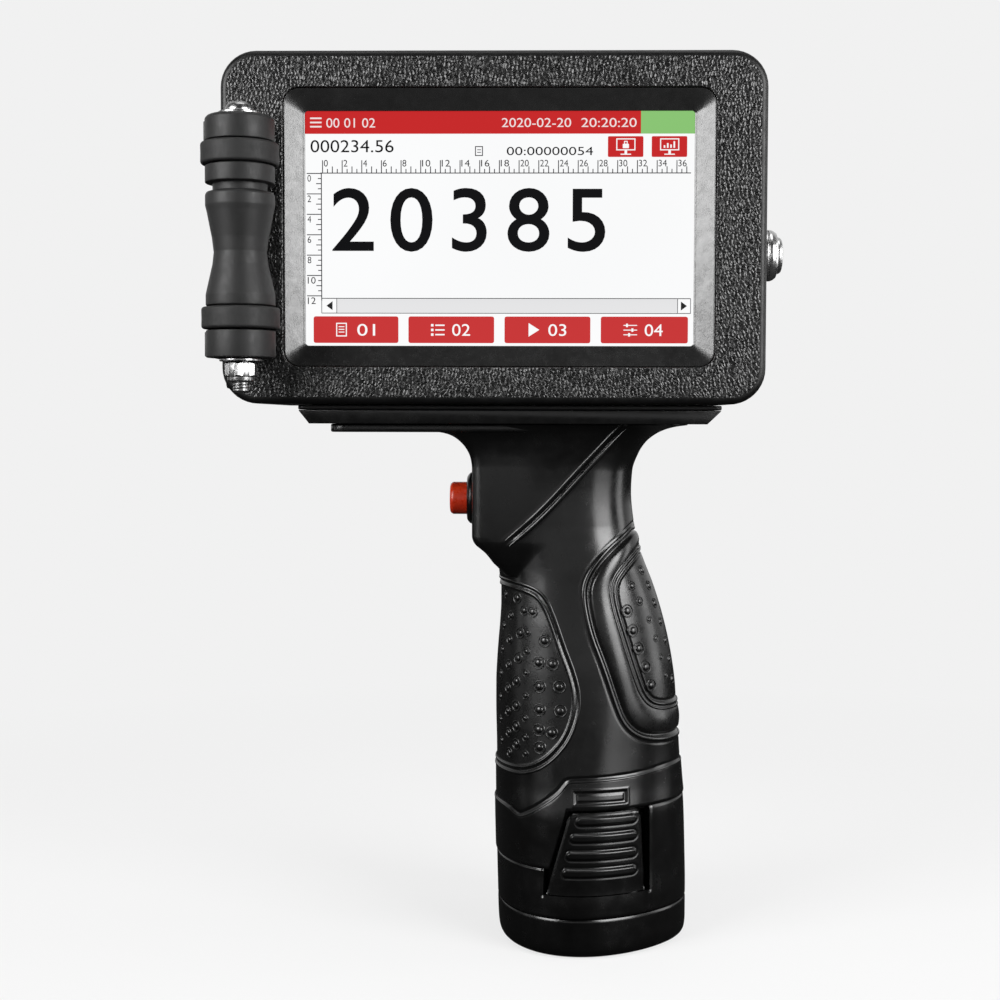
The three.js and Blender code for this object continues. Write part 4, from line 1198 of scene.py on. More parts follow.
def relief(x, y, z):
    """How far each point of the handle stands out from the bare surface, without the beads."""
    rib = distance_to(RIB, x, z)
    palm = distance_to(PALM, x, z)
    inner = distance_to(PALM_INNER, x, z)
    finger = -distance_to(FINGER, x, z)
    step = distance_to(STEP, x, z)
    # The rib over the trigger's block: a low mound with a groove along its middle, fading out at its foot.
    mound = 0.12 * np.clip(1 - np.abs(rib) / 2.2, 0, 1)
    height = smooth_step((z - RIB_FOOT) / 4) * (mound - bump_at(rib, 0, 1.0, 0.45))
    # Two grooves outside the palm grip's band, the band itself, two grooves inside it, and the sunk rubber.
    height -= bump_at(palm, 0.5, 1.9, 0.85) + bump_at(palm, -1.9, 1.0, 0.1)
    height += band_between(palm, inner)
    height -= bump_at(inner, -0.95, 0.9, 0.22) + bump_at(inner, 0.5, 1.3, 0.55)
    height -= 0.35 * smooth_step((inner - 0.1) / 0.7)
    # The finger grip: a groove round it, and the sunk rubber.
    height -= bump_at(finger, 0.2, 1.1, 0.45) + 0.4 * smooth_step((finger - 0.9) / 0.9)
    # The belt below the step stands out, with a groove above it.
    height += 0.35 * smooth_step((0.15 - step) / 0.5) - bump_at(step, 0.8, 1.1, 0.25)
    height += pad_relief(x, z)
    return height - shell_joint(y, 0.9, 0.22)


# The battery's parting line: high behind the latch, low ahead of it.
PART_HIGH, PART_LOW = 42.2, 25.2
PART_BACK, PART_FRONT = -8.0, -13.3
PART_GAP = 0.3
EDGE_FALL, EDGE_WIDTH = 0.25, 0.5  # every moulded edge rolls in by this much over this width


def parting(x):
    t = np.clip((x - PART_FRONT) / (PART_BACK - PART_FRONT), 0, 1)
    return PART_LOW + (PART_HIGH - PART_LOW) * t


def rolled_edge(distance):
    """How far a surface falls back at this distance from its edge."""
    return EDGE_FALL * smooth_step(1 - distance / EDGE_WIDTH)


def grid_normals(points, around=True):
    """Unit normals of a grid of points: rows go up, columns go round."""
    if around:
        across = np.roll(points, -1, 1) - np.roll(points, 1, 1)
    else:
        across = np.gradient(points, axis=1)
    up = np.gradient(points, axis=0)
    normal = np.cross(across, up)
    return normal / np.maximum(np.linalg.norm(normal, axis=-1, keepdims=True), 1e-12)


def rim_edges(mask, columns, around):
    """The grid edges where the masked quads end, each turned so that its quad lies inside."""
    edges = []
    rows, width = mask.shape
    for i, j in zip(*np.nonzero(mask)):
        k = (j + 1) % columns
        left = (j - 1) % columns if around else j - 1
        right = k if around else j + 1
        if i == 0 or not mask[i - 1, j]:
            edges.append(((i, j), (i, k)))
        if i == rows - 1 or not mask[i + 1, j]:
            edges.append(((i + 1, k), (i + 1, j)))
        if left < 0 or not mask[i, left]:
            edges.append(((i + 1, j), (i, j)))
        if right >= width or not mask[i, right]:
            edges.append(((i, k), (i + 1, k)))
    return edges


def sheet_piece(name, outer, inner, shade, mask, material, around=True):
    """The masked quads of a grid as a shell: its outside, and a rim that reaches to the inner grid."""
    rows, columns = outer.shape[:2]
    i, j = np.nonzero(mask)
    k = (j + 1) % columns
    taken = np.zeros((rows, columns), bool)
    for row, column in ((i, j), (i, k), (i + 1, j), (i + 1, k)):
        taken[row, column] = True
    number = np.full((rows, columns), -1)
    number[taken] = np.arange(taken.sum())
    faces = np.stack([number[i, j], number[i, k], number[i + 1, k], number[i + 1, j]], 1).tolist()
    points, normals = list(outer[taken]), list(shade[taken])
    for a, b in rim_edges(mask, columns, around):
        out = np.cross(inner[a] - outer[a], outer[b] - outer[a])
        base = len(points)
        points += [outer[a], outer[b], inner[b], inner[a]]
        normals += [out / max(np.linalg.norm(out), 1e-12)] * 4
        faces.append([base + 1, base, base + 3, base + 2])
    obj = mesh_object(name, points, faces, material, None)
    obj.data.normals_split_custom_set_from_vertices(np.array(normals).tolist())
    return obj


def even_angles(z_ref, samples=20001):
    """The angle for each share of the way round the section, measured along its outline."""
    angle = np.linspace(0, 2 * math.pi, samples)
    points = grip_point(angle, np.full(samples, z_ref))
    steps = np.linalg.norm(np.diff(points, axis=0), axis=1)
    share = np.concatenate([[0], np.cumsum(steps)])
    return angle, share / share[-1]


REF_ANGLE, REF_SHARE = even_angles(60.0)


def share_of(angle):
    return np.interp(angle, REF_ANGLE, REF_SHARE)


def angle_of(share):
    return np.interp(share, REF_SHARE, REF_ANGLE)


def angle_at(x, z, side):
    """The section angle where the bare surface passes through x, on the screen side (-1) or the other (1)."""
    x, z = np.broadcast_arrays(np.asarray(x, float), np.asarray(z, float))
    near = np.full(x.shape, math.pi)
    far = np.full(x.shape, 0.0 if side > 0 else 2 * math.pi)
    for _ in range(40):
        middle = (near + far) / 2
        short = grip_point(middle, z)[..., 0] < x
        near, far = np.where(short, middle, near), np.where(short, far, middle)
    return (near + far) / 2
HANDLE_COLUMNS, HANDLE_ROWS = 520, 380
SHELL_WALL, GRIP_WALL = 2.3, 1.5
LINER_TOP = 146.6
PART_SECTION = 34.0  # height at which the parting line is measured round the handle


def screw_wells(points):
    """The sunk places of the handle screws, on the side away from the screen."""
    depth = np.zeros(points.shape[:2])
    for sx, _, sz in SCREWS:
        r = np.hypot(points[..., 0] - sx, points[..., 2] - sz)
        depth += np.where(points[..., 1] > 0, 2.4 * smooth_step((SCREW_WELL - r) / 0.5), 0)
    return depth


def handle_grid(columns, rows, top):
    """Angles and heights of a grid over the handle, from its parting line up."""
    angle = angle_of(np.arange(columns) / columns)
    low = parting(grip_point(angle, np.full(columns, PART_SECTION))[..., 0]) + PART_GAP
    z = low + (top - low) * np.linspace(0, 1, rows)[:, None]
    return np.broadcast_to(angle, z.shape), z, low


def make_handle():
    angle, z, low = handle_grid(HANDLE_COLUMNS, HANDLE_ROWS, TOP)
    bare = grip_point(angle, z)
    normals = grid_normals(bare)
    out = relief(bare[..., 0], bare[..., 1], bare[..., 2]) - screw_wells(bare) - rolled_edge(z - low)
    outer = bare + normals * out[..., None]
    shade = grid_normals(outer)
    middle = (bare[:-1] + bare[1:]) / 2
    middle = (middle + np.roll(middle, -1, 1)) / 2
    finger = distance_to(FINGER, middle[..., 0], middle[..., 2]) < 0
    palm = distance_to(PALM, middle[..., 0], middle[..., 2]) > 0
    left = middle[..., 1] < 0
    for part, mask, thickness, material, slot_name in (
            ("front_grip", finger, GRIP_WALL, GRIP, "grip_rubber"),
            ("rear_grip", palm & ~finger, GRIP_WALL, GRIP, "grip_rubber"),
            ("handle_shell", ~finger & ~palm, SHELL_WALL, GLOSS, "gloss_handle")):
        inner = bare - thickness * normals
        for side, half in (("left", left), ("right", ~left)):
            obj = sheet_piece(f"{part}_skin_{side}", outer, inner, shade, mask & half, material)
            piece(obj, "printer", slot_name, f"{part}_{side}")


def make_liner():
    """The inside wall of the handle, seen when the battery is out."""
    columns, rows = 96, 30
    angle, z, _ = handle_grid(columns, rows, LINER_TOP)
    points = grip_point(angle, z, SHELL_WALL).reshape(-1, 3)
    roof = tuple(range(len(points) - columns, len(points)))[::-1]
    obj = mesh_object("handle_inside_wall", points, [*grid_faces(rows, columns, flip=True), roof], GRIP)
    piece(obj, "printer", "gloss_handle")


def surface_at(angle, z):
    """Points of the finished handle surface and their outward normals."""
    step = 0.01
    p = grip_point(angle, z)
    around = grip_point(angle + step, z) - grip_point(angle - step, z)
    up = grip_point(angle, z + step) - grip_point(angle, z - step)
    normal = np.cross(around, up)
    normal /= np.linalg.norm(normal, axis=-1, keepdims=True)
    return p + normal * relief(p[..., 0], p[..., 1], p[..., 2])[..., None], normal


def surface_frame(x, z, side):
    p, normal = surface_at(angle_at([x], [z], side), np.array([float(z)]))
    return p[0], normal[0]


BEAD_STEP = 0.5  # distance between neighbouring rings of a bead


def offset_curve(curve, distance):
    """A curve moved to its left by a distance, in even steps."""
    points = np.array(curve)
    along = np.gradient(points, axis=0)
    along /= np.linalg.norm(along, axis=1, keepdims=True)
    moved = points + distance * np.stack([-along[:, 1], along[:, 0]], 1)
    travel = np.concatenate([[0], np.cumsum(np.linalg.norm(np.diff(moved, axis=0), axis=1))])
    even = np.arange(0, travel[-1], BEAD_STEP)
    return np.stack([np.interp(even, travel, moved[:, k]) for k in (0, 1)], 1)


EDGE_ROOM = 1.2
ENDS = {"front": lambda side: 0.5, "back": lambda side: 1.0 if side < 0 else 0.0}
END_STEPS = 25


def surface_path(curve, side, ends):
    """The curve on the handle, carried round to the joint line at the named ends."""
    front, back = station_at(curve[:, 1])[:2]
    front = np.minimum(front, block_at(curve[:, 1])[0])
    kept = curve[(curve[:, 0] > front + EDGE_ROOM) & (curve[:, 0] < back - EDGE_ROOM)]
    share = share_of(angle_at(kept[:, 0], kept[:, 1], side))
    z = kept[:, 1]
    if ends[0]:
        lead = np.linspace(ENDS[ends[0]](side), share[0], END_STEPS + 1)[:-1]
        share, z = np.concatenate([lead, share]), np.concatenate([np.full(END_STEPS, z[0]), z])
    if ends[1]:
        tail = np.linspace(share[-1], ENDS[ends[1]](side), END_STEPS + 1)[1:]
        share, z = np.concatenate([share, tail]), np.concatenate([z, np.full(END_STEPS, z[-1])])
    return angle_of(share), z


# Curve, shift to its left, half width, height, and where each end is carried to.
BEADS = [(RIB, 1.0, 0.62, 0.5, (None, None)), (RIB, -1.0, 0.62, 0.5, (None, None)),
         (PALM, -0.85, 0.6, 0.42, ("back", "back")), (PALM_INNER, -1.65, 0.42, 0.3, ("back", "back")),
         (PALM_INNER, -0.35, 0.42, 0.26, ("back", "back")), (FINGER, 0.65, 0.45, 0.3, ("front", "front")),
         (FINGER, -1.1, 0.36, 0.24, ("front", "front")), (STEP, -0.2, 0.4, 0.22, ("front", "back"))]
BEAD_TAPER = 5.0
BEAD_SINK = 0.08


def bead_rings(curve, shift, half_width, height, ends, sign):
    """Half-round sections along one bead; free ends taper away."""
    arc = np.linspace(0, math.pi, 9)
    angle, z = surface_path(offset_curve(curve, shift), sign, ends)
    spine, normal = surface_at(angle, z)
    along = np.gradient(spine, axis=0)
    along /= np.linalg.norm(along, axis=1, keepdims=True)
    across = np.cross(normal, along)
    size = np.ones(len(spine))
    if ends[0] is None:
        travel = np.arange(len(spine)) * BEAD_STEP
        size = np.sqrt(np.clip(np.minimum(travel, travel[-1] - travel) / BEAD_TAPER, 0.02, 1))
    return [[p + k * (b * half_width * math.cos(a) + n * height * math.sin(a)) - BEAD_SINK * n for a in arc]
            for p, n, b, k in zip(spine, normal, across, size)]


def make_beads():
    """Fine rounded beads along the handle's moulded lines."""
    for side, sign in (("left", -1), ("right", 1)):
        points, faces = [], []
        for bead in BEADS:
            rings = bead_rings(*bead, sign)
            faces += grid_faces(len(rings), len(rings[0]), len(points), closed=False)
            points += [p for ring in rings for p in ring]
        obj = mesh_object(f"handle_beads_{side}", points, faces, GLOSS, 80)
        piece(weld(obj), "printer", "gloss_handle")


# Radius and height of a stud's profile; then each stud's place and scale.
STUD = [(2.05, -0.15), (1.95, 0.06), (1.82, 0.2), (1.68, 0.2), (1.55, 0.05), (1.4, -0.12), (1.22, -0.14),
        (1.14, 0.06), (0.98, 0.3), (0.72, 0.46), (0.38, 0.55), (0.0, 0.58)]
FRONT_STUDS = [(-14.7, 90, 1), (-16.4, 83.7, 1), (-12.4, 83.5, 1), (-16.1, 76.9, 1), (-10.4, 77.1, 1),
               (-16.1, 70.3, 1), (-10.1, 70.3, 1), (-16.3, 64.6, 1), (-12.6, 64, 1), (-16, 59.6, 1),
               (-18.2, 98.0, 0.9), (-20.7, 98.2, 0.8), (-19.6, 92.0, 0.6), (-19.9, 86.6, 0.6),
               (-20.1, 80.4, 0.6), (-20.2, 73.9, 0.6), (-20.3, 67.4, 0.6), (-20.3, 61.9, 0.6),
               (-20.2, 57.2, 0.6), (-22.7, 101.6, 0.9), (-21.8, 91.6, 0.9), (-22.4, 84.4, 0.9),
               (-22.9, 77.6, 0.9), (-22.9, 70.6, 0.9), (-22.9, 64.6, 0.9), (-22.9, 59.4, 0.9),
               (-24.6, 96.2, 0.75), (-25.0, 89.2, 0.8), (-25.2, 82.0, 0.8), (-25.4, 75.2, 0.8),
               (-25.4, 68.4, 0.8), (-25.2, 62.2, 0.8), (-24.9, 56.4, 0.8), (-26.2, 102.0, 0.6),
               (-26.7, 92.8, 0.6), (-27.2, 85.8, 0.6), (-27.6, 78.8, 0.6), (-27.7, 71.8, 0.6),
               (-27.6, 65.2, 0.6), (-27.3, 59.0, 0.6)]
REAR_STUDS = [(10.9, 105.4, 0.72), (13.2, 100.9, 0.72), (9.4, 98.4, 1), (11.1, 92.7, 1), (12.8, 87.5, 1),
              (14.9, 82.0, 1), (16.6, 76.6, 1), (16.1, 95.4, 0.6), (18.1, 89.8, 0.6), (19.8, 84.2, 0.55),
              (21.2, 78.8, 0.55), (14.0, 109.6, 0.8), (16.2, 105.0, 0.8), (18.0, 99.8, 0.8),
              (19.9, 94.2, 0.7), (21.4, 88.6, 0.7), (22.6, 83.0, 0.7), (23.6, 77.0, 0.7)]


def make_studs(name, studs, segments=20):
    turns = [2 * math.pi * k / segments for k in range(segments)]
    rows = len(STUD) - 1
    for side, sign in (("left", -1), ("right", 1)):
        points, faces = [], []
        for x, z, scale in studs:
            centre, normal = surface_frame(x, z, sign)
            across = np.cross((0, 0, 1), normal)
            across /= np.linalg.norm(across)
            up = np.cross(normal, across)
            faces += grid_faces(rows, segments, len(points))
            for r, h in STUD[:-1]:
                points += [centre + scale * (r * (math.cos(a) * across + math.sin(a) * up) + h * normal)
                           for a in turns]
            tip, last = len(points), len(points) - segments
            points.append(centre + scale * STUD[-1][1] * normal)
            faces += [(last + k, last + (k + 1) % segments, tip) for k in range(segments)]
        obj = mesh_object(f"{name}_studs_{side}", points, faces, GRIP, 60)
        piece(obj, "printer", "grip_rubber")


def make_flange():
    """The handle's top plate, in two halves like the shells under it."""
    front, back, half, z0, z1 = -76.0, 17.5, 22.0, 149.5, 151.85
    corners = [(front, 0.1), (back, 0.1), (back, 15.0), (8.0, 19.5), (-20.0, 21.0), (-40.0, half),
               (front, half)]
    for side, sign in (("left", -1), ("right", 1)):
        outline = [(x, sign * y) for x, y in corners]
        rounded = [*outline[:2], *fillet([*outline[1:], outline[0]], 5.0, 8)[1:-1]]
        obj = prism(f"handle_flange_{side}", rounded, z0, z1, "Z", GLOSS_CUT, 0.5)
        piece(obj, "printer", "gloss_handle")


def make_adapter():
    low, high = cad_mm("adapter_plate")
    chamfer = 3.6
    lip_foot = high[2] - 1.25
    left, right = low[0] + 1.2, high[0] - 1.1
    outline = [(right - 0.35, lip_foot - 0.1), (right - 0.35, low[2] + chamfer),
               (right - chamfer * 1.15, low[2]),
               (left + chamfer * 0.9, low[2]), (left + 0.35, low[2] + chamfer), (left + 0.35, lip_foot - 0.1)]
    body = prism("adapter_body", outline, low[1] + 0.3, high[1] - 0.3, "Y", GLOSS_CUT, 0.45)
    lip_outline = rounded_box(left, low[1], right, high[1], 2.0, 6)
    lip = prism("adapter_lip", lip_outline, lip_foot, high[2], "Z", EDGE_PAINT, 0.35)
    piece(merged("adapter_bar", [body, lip]), "printer", "gloss_handle", "adapter_plate")


def make_handle_screws():
    for i, (x, _, z) in enumerate(SCREWS, 1):
        top = make_screw(f"shell_screw_{i}", f"handle_screw_{i}", SHELL_SCREW, SHELL_SOCKET, x, z)
        rim = surface_frame(x, z, 1)[0][1]
        profile = [(3.25, top - 2.2), (3.25, rim - 0.1), (3.5, rim + 0.18), (3.85, rim + 0.1),
                   (4.05, rim - 0.4)]
        collar = lathe(f"screw_collar_{i}", profile, GLOSS_CUT, "Y", (x, 0, z), 0.12, 64)
        piece(collar, "printer", "gloss_handle")


make_handle()
make_liner()
make_beads()
make_studs("front_grip", FRONT_STUDS)
make_studs("rear_grip", REAR_STUDS)
make_flange()
make_adapter()
make_handle_screws()


# ---------------------------------------------------------------- battery
BASE_TOP = 11.3
WINDOW = (-14.9, 16.2, 18.0)  # its two sides and its foot
CASE_COLUMNS = (80, 60, 84)  # back, window and front, on each side
CASE_TOP = 42.0
FOOT_ROWS, SIDE_ROWS = 16, 60
BACK, LATCH_WINDOW, FRONT = 0, 1, 2  # kinds of column in the battery case
GROOVE = 15.4


def case_angles(z):
    """Section angles for one row of the battery case, with columns on both edges of each latch window."""
    right = [angle_at(WINDOW[k], z, 1) for k in (1, 0)]
    left = [angle_at(WINDOW[k], z, -1) for k in (0, 1)]
    marks = [0.0, *right, math.pi, *left, 2 * math.pi]
    counts = [*CASE_COLUMNS, *CASE_COLUMNS[::-1]]
    return np.concatenate([angle_of(np.linspace(share_of(a), share_of(b), count, endpoint=False))
                           for a, b, count in zip(marks, marks[1:], counts)])


def case_relief(x, y, z):
    """Fine lines of the battery case: the groove below the latch slot and the joint at each end."""
    groove = np.clip(1 - ((x - GROOVE) / 0.35) ** 2, 0, 1) * smooth_step((18.2 - z) / 0.6) * (np.abs(y) > 10)
    return -0.3 * groove - shell_joint(y, 0.8, 0.18)


def case_heights(kinds, tops, foot):
    """Row heights: level up to the foot of the windows, then spread up to the parting line."""
    sill = np.full(len(kinds), WINDOW[2])
    rows = [foot + (sill - foot) * t for t in np.linspace(0, 1, FOOT_ROWS, endpoint=False)]
    rows += [WINDOW[2] + (tops - WINDOW[2]) * t for t in np.linspace(0, 1, SIDE_ROWS)]
    return np.array(rows)


def make_battery_case():
    foot = BASE_TOP + 0.3
    kinds = np.repeat([BACK, LATCH_WINDOW, FRONT, FRONT, LATCH_WINDOW, BACK],
                      [*CASE_COLUMNS, *CASE_COLUMNS[::-1]])
    window_x = grip_point(case_angles(WINDOW[2]), np.full(len(kinds), WINDOW[2]))[:, 0]
    across = np.clip((window_x - WINDOW[0]) / (WINDOW[1] - WINDOW[0]), 0, 1)
    tops = np.where(kinds == FRONT, PART_LOW, PART_LOW + (PART_HIGH - PART_LOW) * across)
    z = case_heights(kinds, tops, foot)
    angles = np.array([case_angles(float(np.clip(row.mean(), foot, CASE_TOP))) for row in z])
    bare = grip_point(angles, z)
    normals = grid_normals(bare)
    x, y = bare[..., 0], bare[..., 1]
    out = case_relief(x, y, z) - rolled_edge(z - foot) - rolled_edge(tops - z)
    near_window = np.minimum(np.abs(x - WINDOW[0]), np.abs(x - WINDOW[1]))
    out -= 0.3 * smooth_step(1 - near_window / 0.6) * (z > WINDOW[2] - 0.5)
    outer = bare + normals * out[..., None]
    mask = np.ones((len(z) - 1, len(kinds)), bool)
    mask[FOOT_ROWS:, kinds == LATCH_WINDOW] = False
    skin = sheet_piece("battery_case_skin", outer, bare - SHELL_WALL * normals, grid_normals(outer), mask,
                       GLOSS)
    piece(skin, "battery", "gloss_handle", "battery_case")


TOWER = dict(x0=-23.0, x1=18.0, half=18.9, radius=11.0, top=73.5)
DECK_STEPS = 5
DECK_DROP = 0.6


def tower_ring(inset, z):
    ring = rect_ring(TOWER["x0"] + inset, TOWER["x1"] - inset, -TOWER["half"] + inset, TOWER["half"] - inset,
                     max(TOWER["radius"] - inset, 0.5), z, corner=11, side=0)
    return ring[:, [0, 2, 1]]


def make_deck():
    """The deck from the tower's foot out to the battery's parting line, open at the latches."""
    centre = np.array([-2.5, 0.0])
    angles = REF_ANGLE[::20]
    outline = grip_point(angles, np.full(len(angles), PART_SECTION), 1.2)[:, :2] - centre
    outline_angle = np.unwrap(np.arctan2(outline[:, 1], outline[:, 0]))
    outline_reach = np.hypot(outline[:, 0], outline[:, 1])
    points, faces = [], []
    for p in tower_ring(0.1, 0)[:, :2] - centre:
        a = math.atan2(p[1], p[0])
        a = a if a >= outline_angle[0] else a + 2 * math.pi
        far, near = np.interp(a, outline_angle, outline_reach), np.hypot(*p)
        for t in np.linspace(0, 1, DECK_STEPS + 1):
            x, y = centre + (near + (far - near) * t) * np.array([math.cos(a), math.sin(a)])
            points.append((x, y, parting(x) - DECK_DROP))
    row = DECK_STEPS + 1
    for i in range(0, len(points), row):
        j = (i + row) % len(points)
        for k in range(DECK_STEPS):
            corners = (i + k, i + k + 1, j + k + 1, j + k)
            x, y, _ = np.mean([points[c] for c in corners], axis=0)
            if abs(y) <= 20 or not WINDOW[0] < x < WINDOW[1]:
                faces.append(corners)
    return mesh_object("deck", points, faces, GRIP)


def make_battery_inside():
    """The cell tower and the deck around its foot."""
    top = TOWER["top"]
    levels = [(0, 14), (0, 68.2), (0.5, 68.5), (0.5, 69.3), (0, 69.6), (0, top - 1.8), (0.5, top - 0.7),
              (1.4, top - 0.1), (2.2, top), (5, top)]
    tower = loft("tower", [tower_ring(inset, z) for inset, z in levels], GRIP, cap_last=True)
    rails = [block("rail", (x - 1.2, y - 0.5, 43), (x + 1.2, y + 0.5, 66), GRIP, 0.25)
             for x in (-8.0, 4.0) for y in (-18.6, 18.6)]
    piece(merged("battery_tower", [tower, make_deck(), *rails], GRIP), "battery", "gloss_handle")


def make_battery_base():
    columns, foot_round = 400, 3.0
    angle = angle_of(np.arange(columns) / columns)
    levels = [*(np.linspace(0, 1, 9)[:-1] ** 1.6 * foot_round), *np.linspace(foot_round, BASE_TOP, 20)]
    z = np.repeat(np.array(levels)[:, None], columns, 1)
    bare = grip_point(np.broadcast_to(angle, z.shape), z)
    out = -rolled_edge(BASE_TOP - z) - shell_joint(bare[..., 1], 0.8, 0.15) * (z > foot_round)
    outer = bare + grid_normals(bare) * out[..., None]
    outer[0] = bare[0]
    rings = []
    for inset, level in ((12.0, 0.5), (6.6, 0.5), (6.0, 0.0), (2.0, 0.0)):
        ring = grip_point(angle, np.zeros(columns), inset)
        ring[:, 2] = level
        rings.append(ring)
    rings += [*outer, grip_point(angle, np.full(columns, BASE_TOP), SHELL_WALL)]
    obj = loft("battery_base_cover", rings, GLOSS, cap_first=True, sharp=50)
    piece(obj, "battery", "gloss_handle", "battery_base")


# Where each rib of the latch starts: X and Z. All of them end at LATCH_RIB_END.
LATCH_RIBS = [(-5.2, 39.6), (-6.9, 34.8), (-8.0, 29.8), (-9.1, 24.8)]
LATCH_FOOT, LATCH_TOP = 18.32, 41.8
LATCH_RIB_END = 10.5
LATCH_CORNER = 1.6
LATCH_WALL = 1.2


def latch_relief(x, z, edge):
    """The latch swells towards its top, falls away at its edges and carries rounded ribs."""
    out = 0.35 * smooth_step((z - 18) / 6) - 0.45 * (1 - smooth_step(edge / 0.7)) * smooth_step((z - 18) / 2)
    for x0, z0 in LATCH_RIBS:
        r = np.hypot(x - np.clip(x, x0 + 1.0, LATCH_RIB_END), z - z0)
        out += 0.6 * smooth_step((1.25 - r) / 0.45) - bump_at(r, 1.55, 0.9, 0.12)
    return out


def make_latch(side, sign):
    rows, columns = 90, 84
    z = np.linspace(LATCH_FOOT, LATCH_TOP, rows)[:, None]
    t = (z - LATCH_FOOT) / (LATCH_TOP - LATCH_FOOT)
    front, back = -13.9 + 6.5 * t, 14.5 - 1.4 * t
    share = np.linspace(0, 1, columns)[::-sign]
    x = front + (back - front) * share
    from_top = LATCH_TOP - np.repeat(z, columns, 1)
    from_side = np.minimum(x - front, back - x)
    near = np.clip(LATCH_CORNER - from_side, 0, LATCH_CORNER)
    z = np.minimum(z, LATCH_TOP - (LATCH_CORNER - np.sqrt(np.maximum(LATCH_CORNER**2 - near**2, 0))))
    bare = grip_point(angle_at(x, z, sign), z)
    normals = grid_normals(bare, around=False)
    outer = bare + normals * latch_relief(x, z, np.minimum(from_side, from_top))[..., None]
    mask = np.ones((rows - 1, columns - 1), bool)
    skin = sheet_piece(f"latch_skin_{side}", outer, bare - LATCH_WALL * normals,
                       grid_normals(outer, around=False), mask, GLOSS, around=False)
    piece(skin, f"latch_{side}", "gloss_handle", f"battery_latch_{side}")


make_battery_case()
make_battery_inside()
make_battery_base()
make_latch("left", -1)
make_latch("right", 1)


# ---------------------------------------------------------------- stage, lights and camera


def srgb(value):
    value = value / 255
    return ((value + 0.055) / 1.055) ** 2.4 if value > 0.04 else value / 12.92


BACKDROP = (*grey(srgb(241)), 1)
FLOOR_REACH = 6.0


def seen_or_felt(tree, seen, felt):
    """A mix that shows one shader to the camera and the other to the object's lighting."""
    mix = add(tree, "ShaderNodeMixShader", {0: add(tree, "ShaderNodeLightPath").outputs["Is Camera Ray"],
                                            1: felt.outputs[0], 2: seen.outputs[0]})
    return mix.outputs["Shader"]


def make_world():
    """The camera sees an even pale backdrop; the object sees a pale room behind it and a dim one in front."""
    world = bpy.data.worlds.new("studio")
    bpy.context.scene.world = world
    world.use_nodes = True
    tree = world.node_tree
    tree.nodes.clear()
    coords = add(tree, "ShaderNodeTexCoord").outputs["Generated"]
    depth = add(tree, "ShaderNodeSeparateXYZ", {"Vector": coords}).outputs["Y"]
    room = ramp(tree, depth, [(0.0, 0.02), (0.15, 0.05), (0.45, 0.6), (1.0, 0.8)])
    seen = add(tree, "ShaderNodeBackground", {"Color": BACKDROP})
    felt = add(tree, "ShaderNodeBackground", {"Color": room})
    add(tree, "ShaderNodeOutputWorld", {"Surface": seen_or_felt(tree, seen, felt)})


def make_floor():
    """A wide pale floor that fades into the backdrop; the object's lighting meets it as a dim one."""
    mesh = bpy.data.meshes.new("floor")
    corners = [(-1, -1), (1, -1), (1, 1), (-1, 1)]
    mesh.from_pydata([(FLOOR_REACH * x, FLOOR_REACH * y, 0) for x, y in corners], [], [(0, 1, 2, 3)])
    mat = bpy.data.materials.new("floor_paper")
    mat.use_nodes = True
    tree = mat.node_tree
    tree.nodes.clear()
    coords = add(tree, "ShaderNodeTexCoord").outputs["Object"]
    length = add(tree, "ShaderNodeVectorMath", {0: coords}, operation="LENGTH").outputs["Value"]
    fade = ramp(tree, length, [(0.05, 0.8), (0.45, 1.0)])
    paper = add(tree, "ShaderNodeBsdfDiffuse", {"Color": (*grey(0.8), 1)})
    glow = add(tree, "ShaderNodeEmission", {"Color": BACKDROP})
    seen = add(tree, "ShaderNodeMixShader", {0: fade, 1: paper.outputs["BSDF"], 2: glow.outputs["Emission"]})
    felt = add(tree, "ShaderNodeBsdfDiffuse", {"Color": (*grey(0.025), 1)})
    add(tree, "ShaderNodeOutputMaterial", {"Surface": seen_or_felt(tree, seen, felt)})
    mesh.materials.append(mat)
    in_scene("floor", mesh)


def softbox(name, place, target, size, power):
    light = bpy.data.lights.new(name, "AREA")
    light.shape = "RECTANGLE"
    light.size, light.size_y = size
    light.energy = power
    lamp = in_scene(name, light)
    lamp.location = place
    lamp.rotation_mode = "QUATERNION"
    lamp.rotation_quaternion = (Vector(target) - Vector(place)).to_track_quat("-Z", "Y")
    lamp.visible_camera = False


# Metres, degrees and watts from here on. The lamps stand on a circle round the middle of the head.
HEAD_MIDDLE = (-0.029, 0.0, 0.206)
LAMP_DISTANCE = 0.7
SIDE_ANGLE = 49
SIDES = {
    "left": dict(side=-1, height=0.39, low_power=0.12, strip_angle=86, strip_width=0.14, strip_power=0.35),
    "right": dict(side=1, height=0.37, low_power=0.9, strip_angle=95, strip_width=0.22, strip_power=1.7),
}


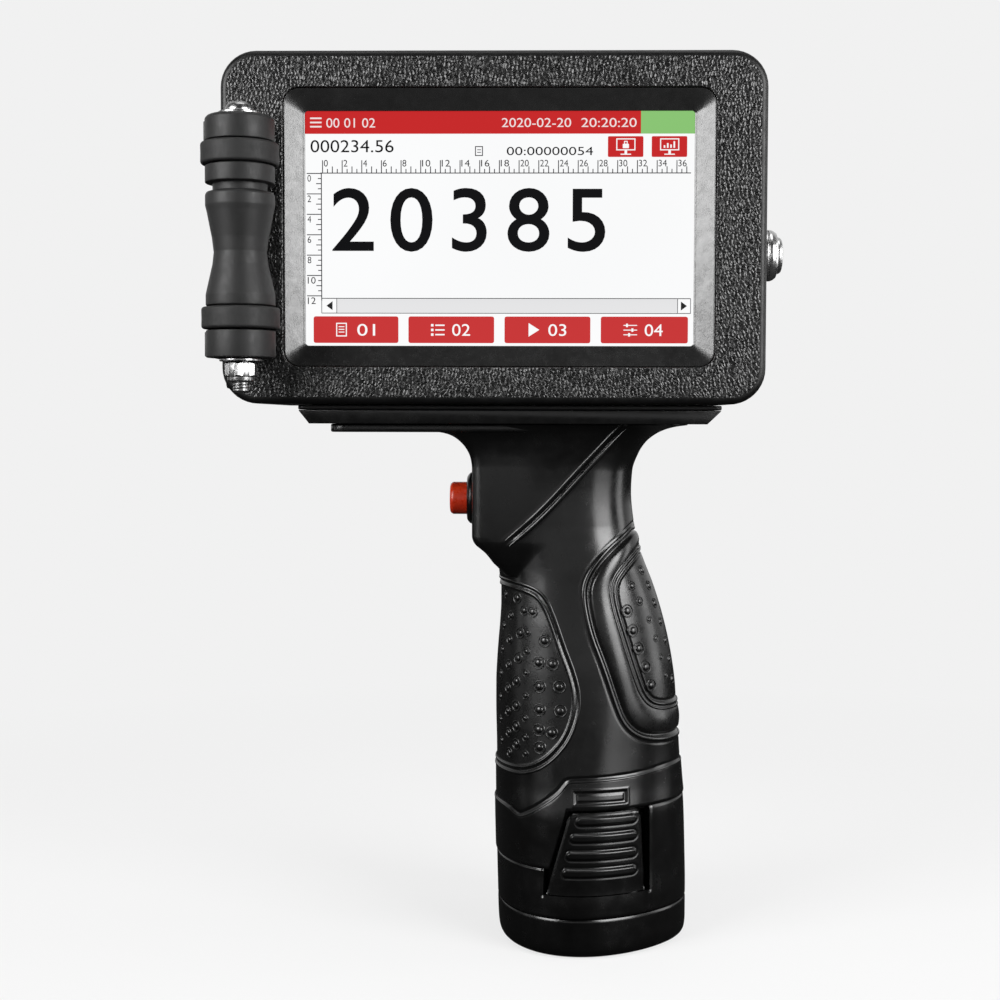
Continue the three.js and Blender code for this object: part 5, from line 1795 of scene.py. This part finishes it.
def around_head(side, degrees, height):
    """A lamp's place; 0 degrees is straight in front of the screen."""
    a = math.radians(degrees)
    return (HEAD_MIDDLE[0] + side * LAMP_DISTANCE * math.sin(a), -LAMP_DISTANCE * math.cos(a), height)


def make_lights():
    x = HEAD_MIDDLE[0]
    for name, look in SIDES.items():
        side = look["side"]
        softbox(f"softbox_{name}", around_head(side, SIDE_ANGLE, look["height"]), HEAD_MIDDLE,
                (0.42, 0.4), 7.4)
        softbox(f"low_card_{name}", around_head(side, SIDE_ANGLE, 0.06), (x, 0, 0.1),
                (0.42, 0.2), look["low_power"])
        softbox(f"strip_{name}", around_head(side, look["strip_angle"], 0.2), (x, 0, 0.15),
                (look["strip_width"], 0.7), look["strip_power"])
    softbox("front_card", (x, -0.85, 0.16), (x, 0, 0.14), (0.8, 0.17), 0.3)
    softbox("top_light", (0.0, -0.1, 1.3), HEAD_MIDDLE, (0.8, 0.6), 4.0)


# The camera as solved from the photo: its place in millimetres, and its turns in degrees.
CAMERA_PLACE = (-19.15, -476.1, 153.2)
PITCH, YAW, ROLL = (math.radians(degrees) for degrees in (2.887, -1.036, 0.135))


def make_camera():
    data = bpy.data.cameras.new("camera")
    data.lens = 57.6
    data.sensor_width = 36.0
    data.clip_start, data.clip_end = 0.02, 50.0
    camera = in_scene("camera", data)
    forward = np.array([math.sin(YAW) * math.cos(PITCH), math.cos(YAW) * math.cos(PITCH), -math.sin(PITCH)])
    right = np.array([math.cos(YAW), -math.sin(YAW), 0.0])
    up = np.cross(right, forward)
    right, up = math.cos(ROLL) * right + math.sin(ROLL) * up, math.cos(ROLL) * up - math.sin(ROLL) * right
    matrix = Matrix.Identity(4)
    for row in range(3):
        matrix[row][0], matrix[row][1], matrix[row][2] = right[row], up[row], -forward[row]
    matrix.translation = Vector(CAMERA_PLACE) * MM
    camera.matrix_world = matrix
    bpy.context.scene.camera = camera


bpy.context.scene.view_settings.view_transform = "Standard"
make_world()
make_floor()
make_lights()
make_camera()

bpy.context.view_layer.update()
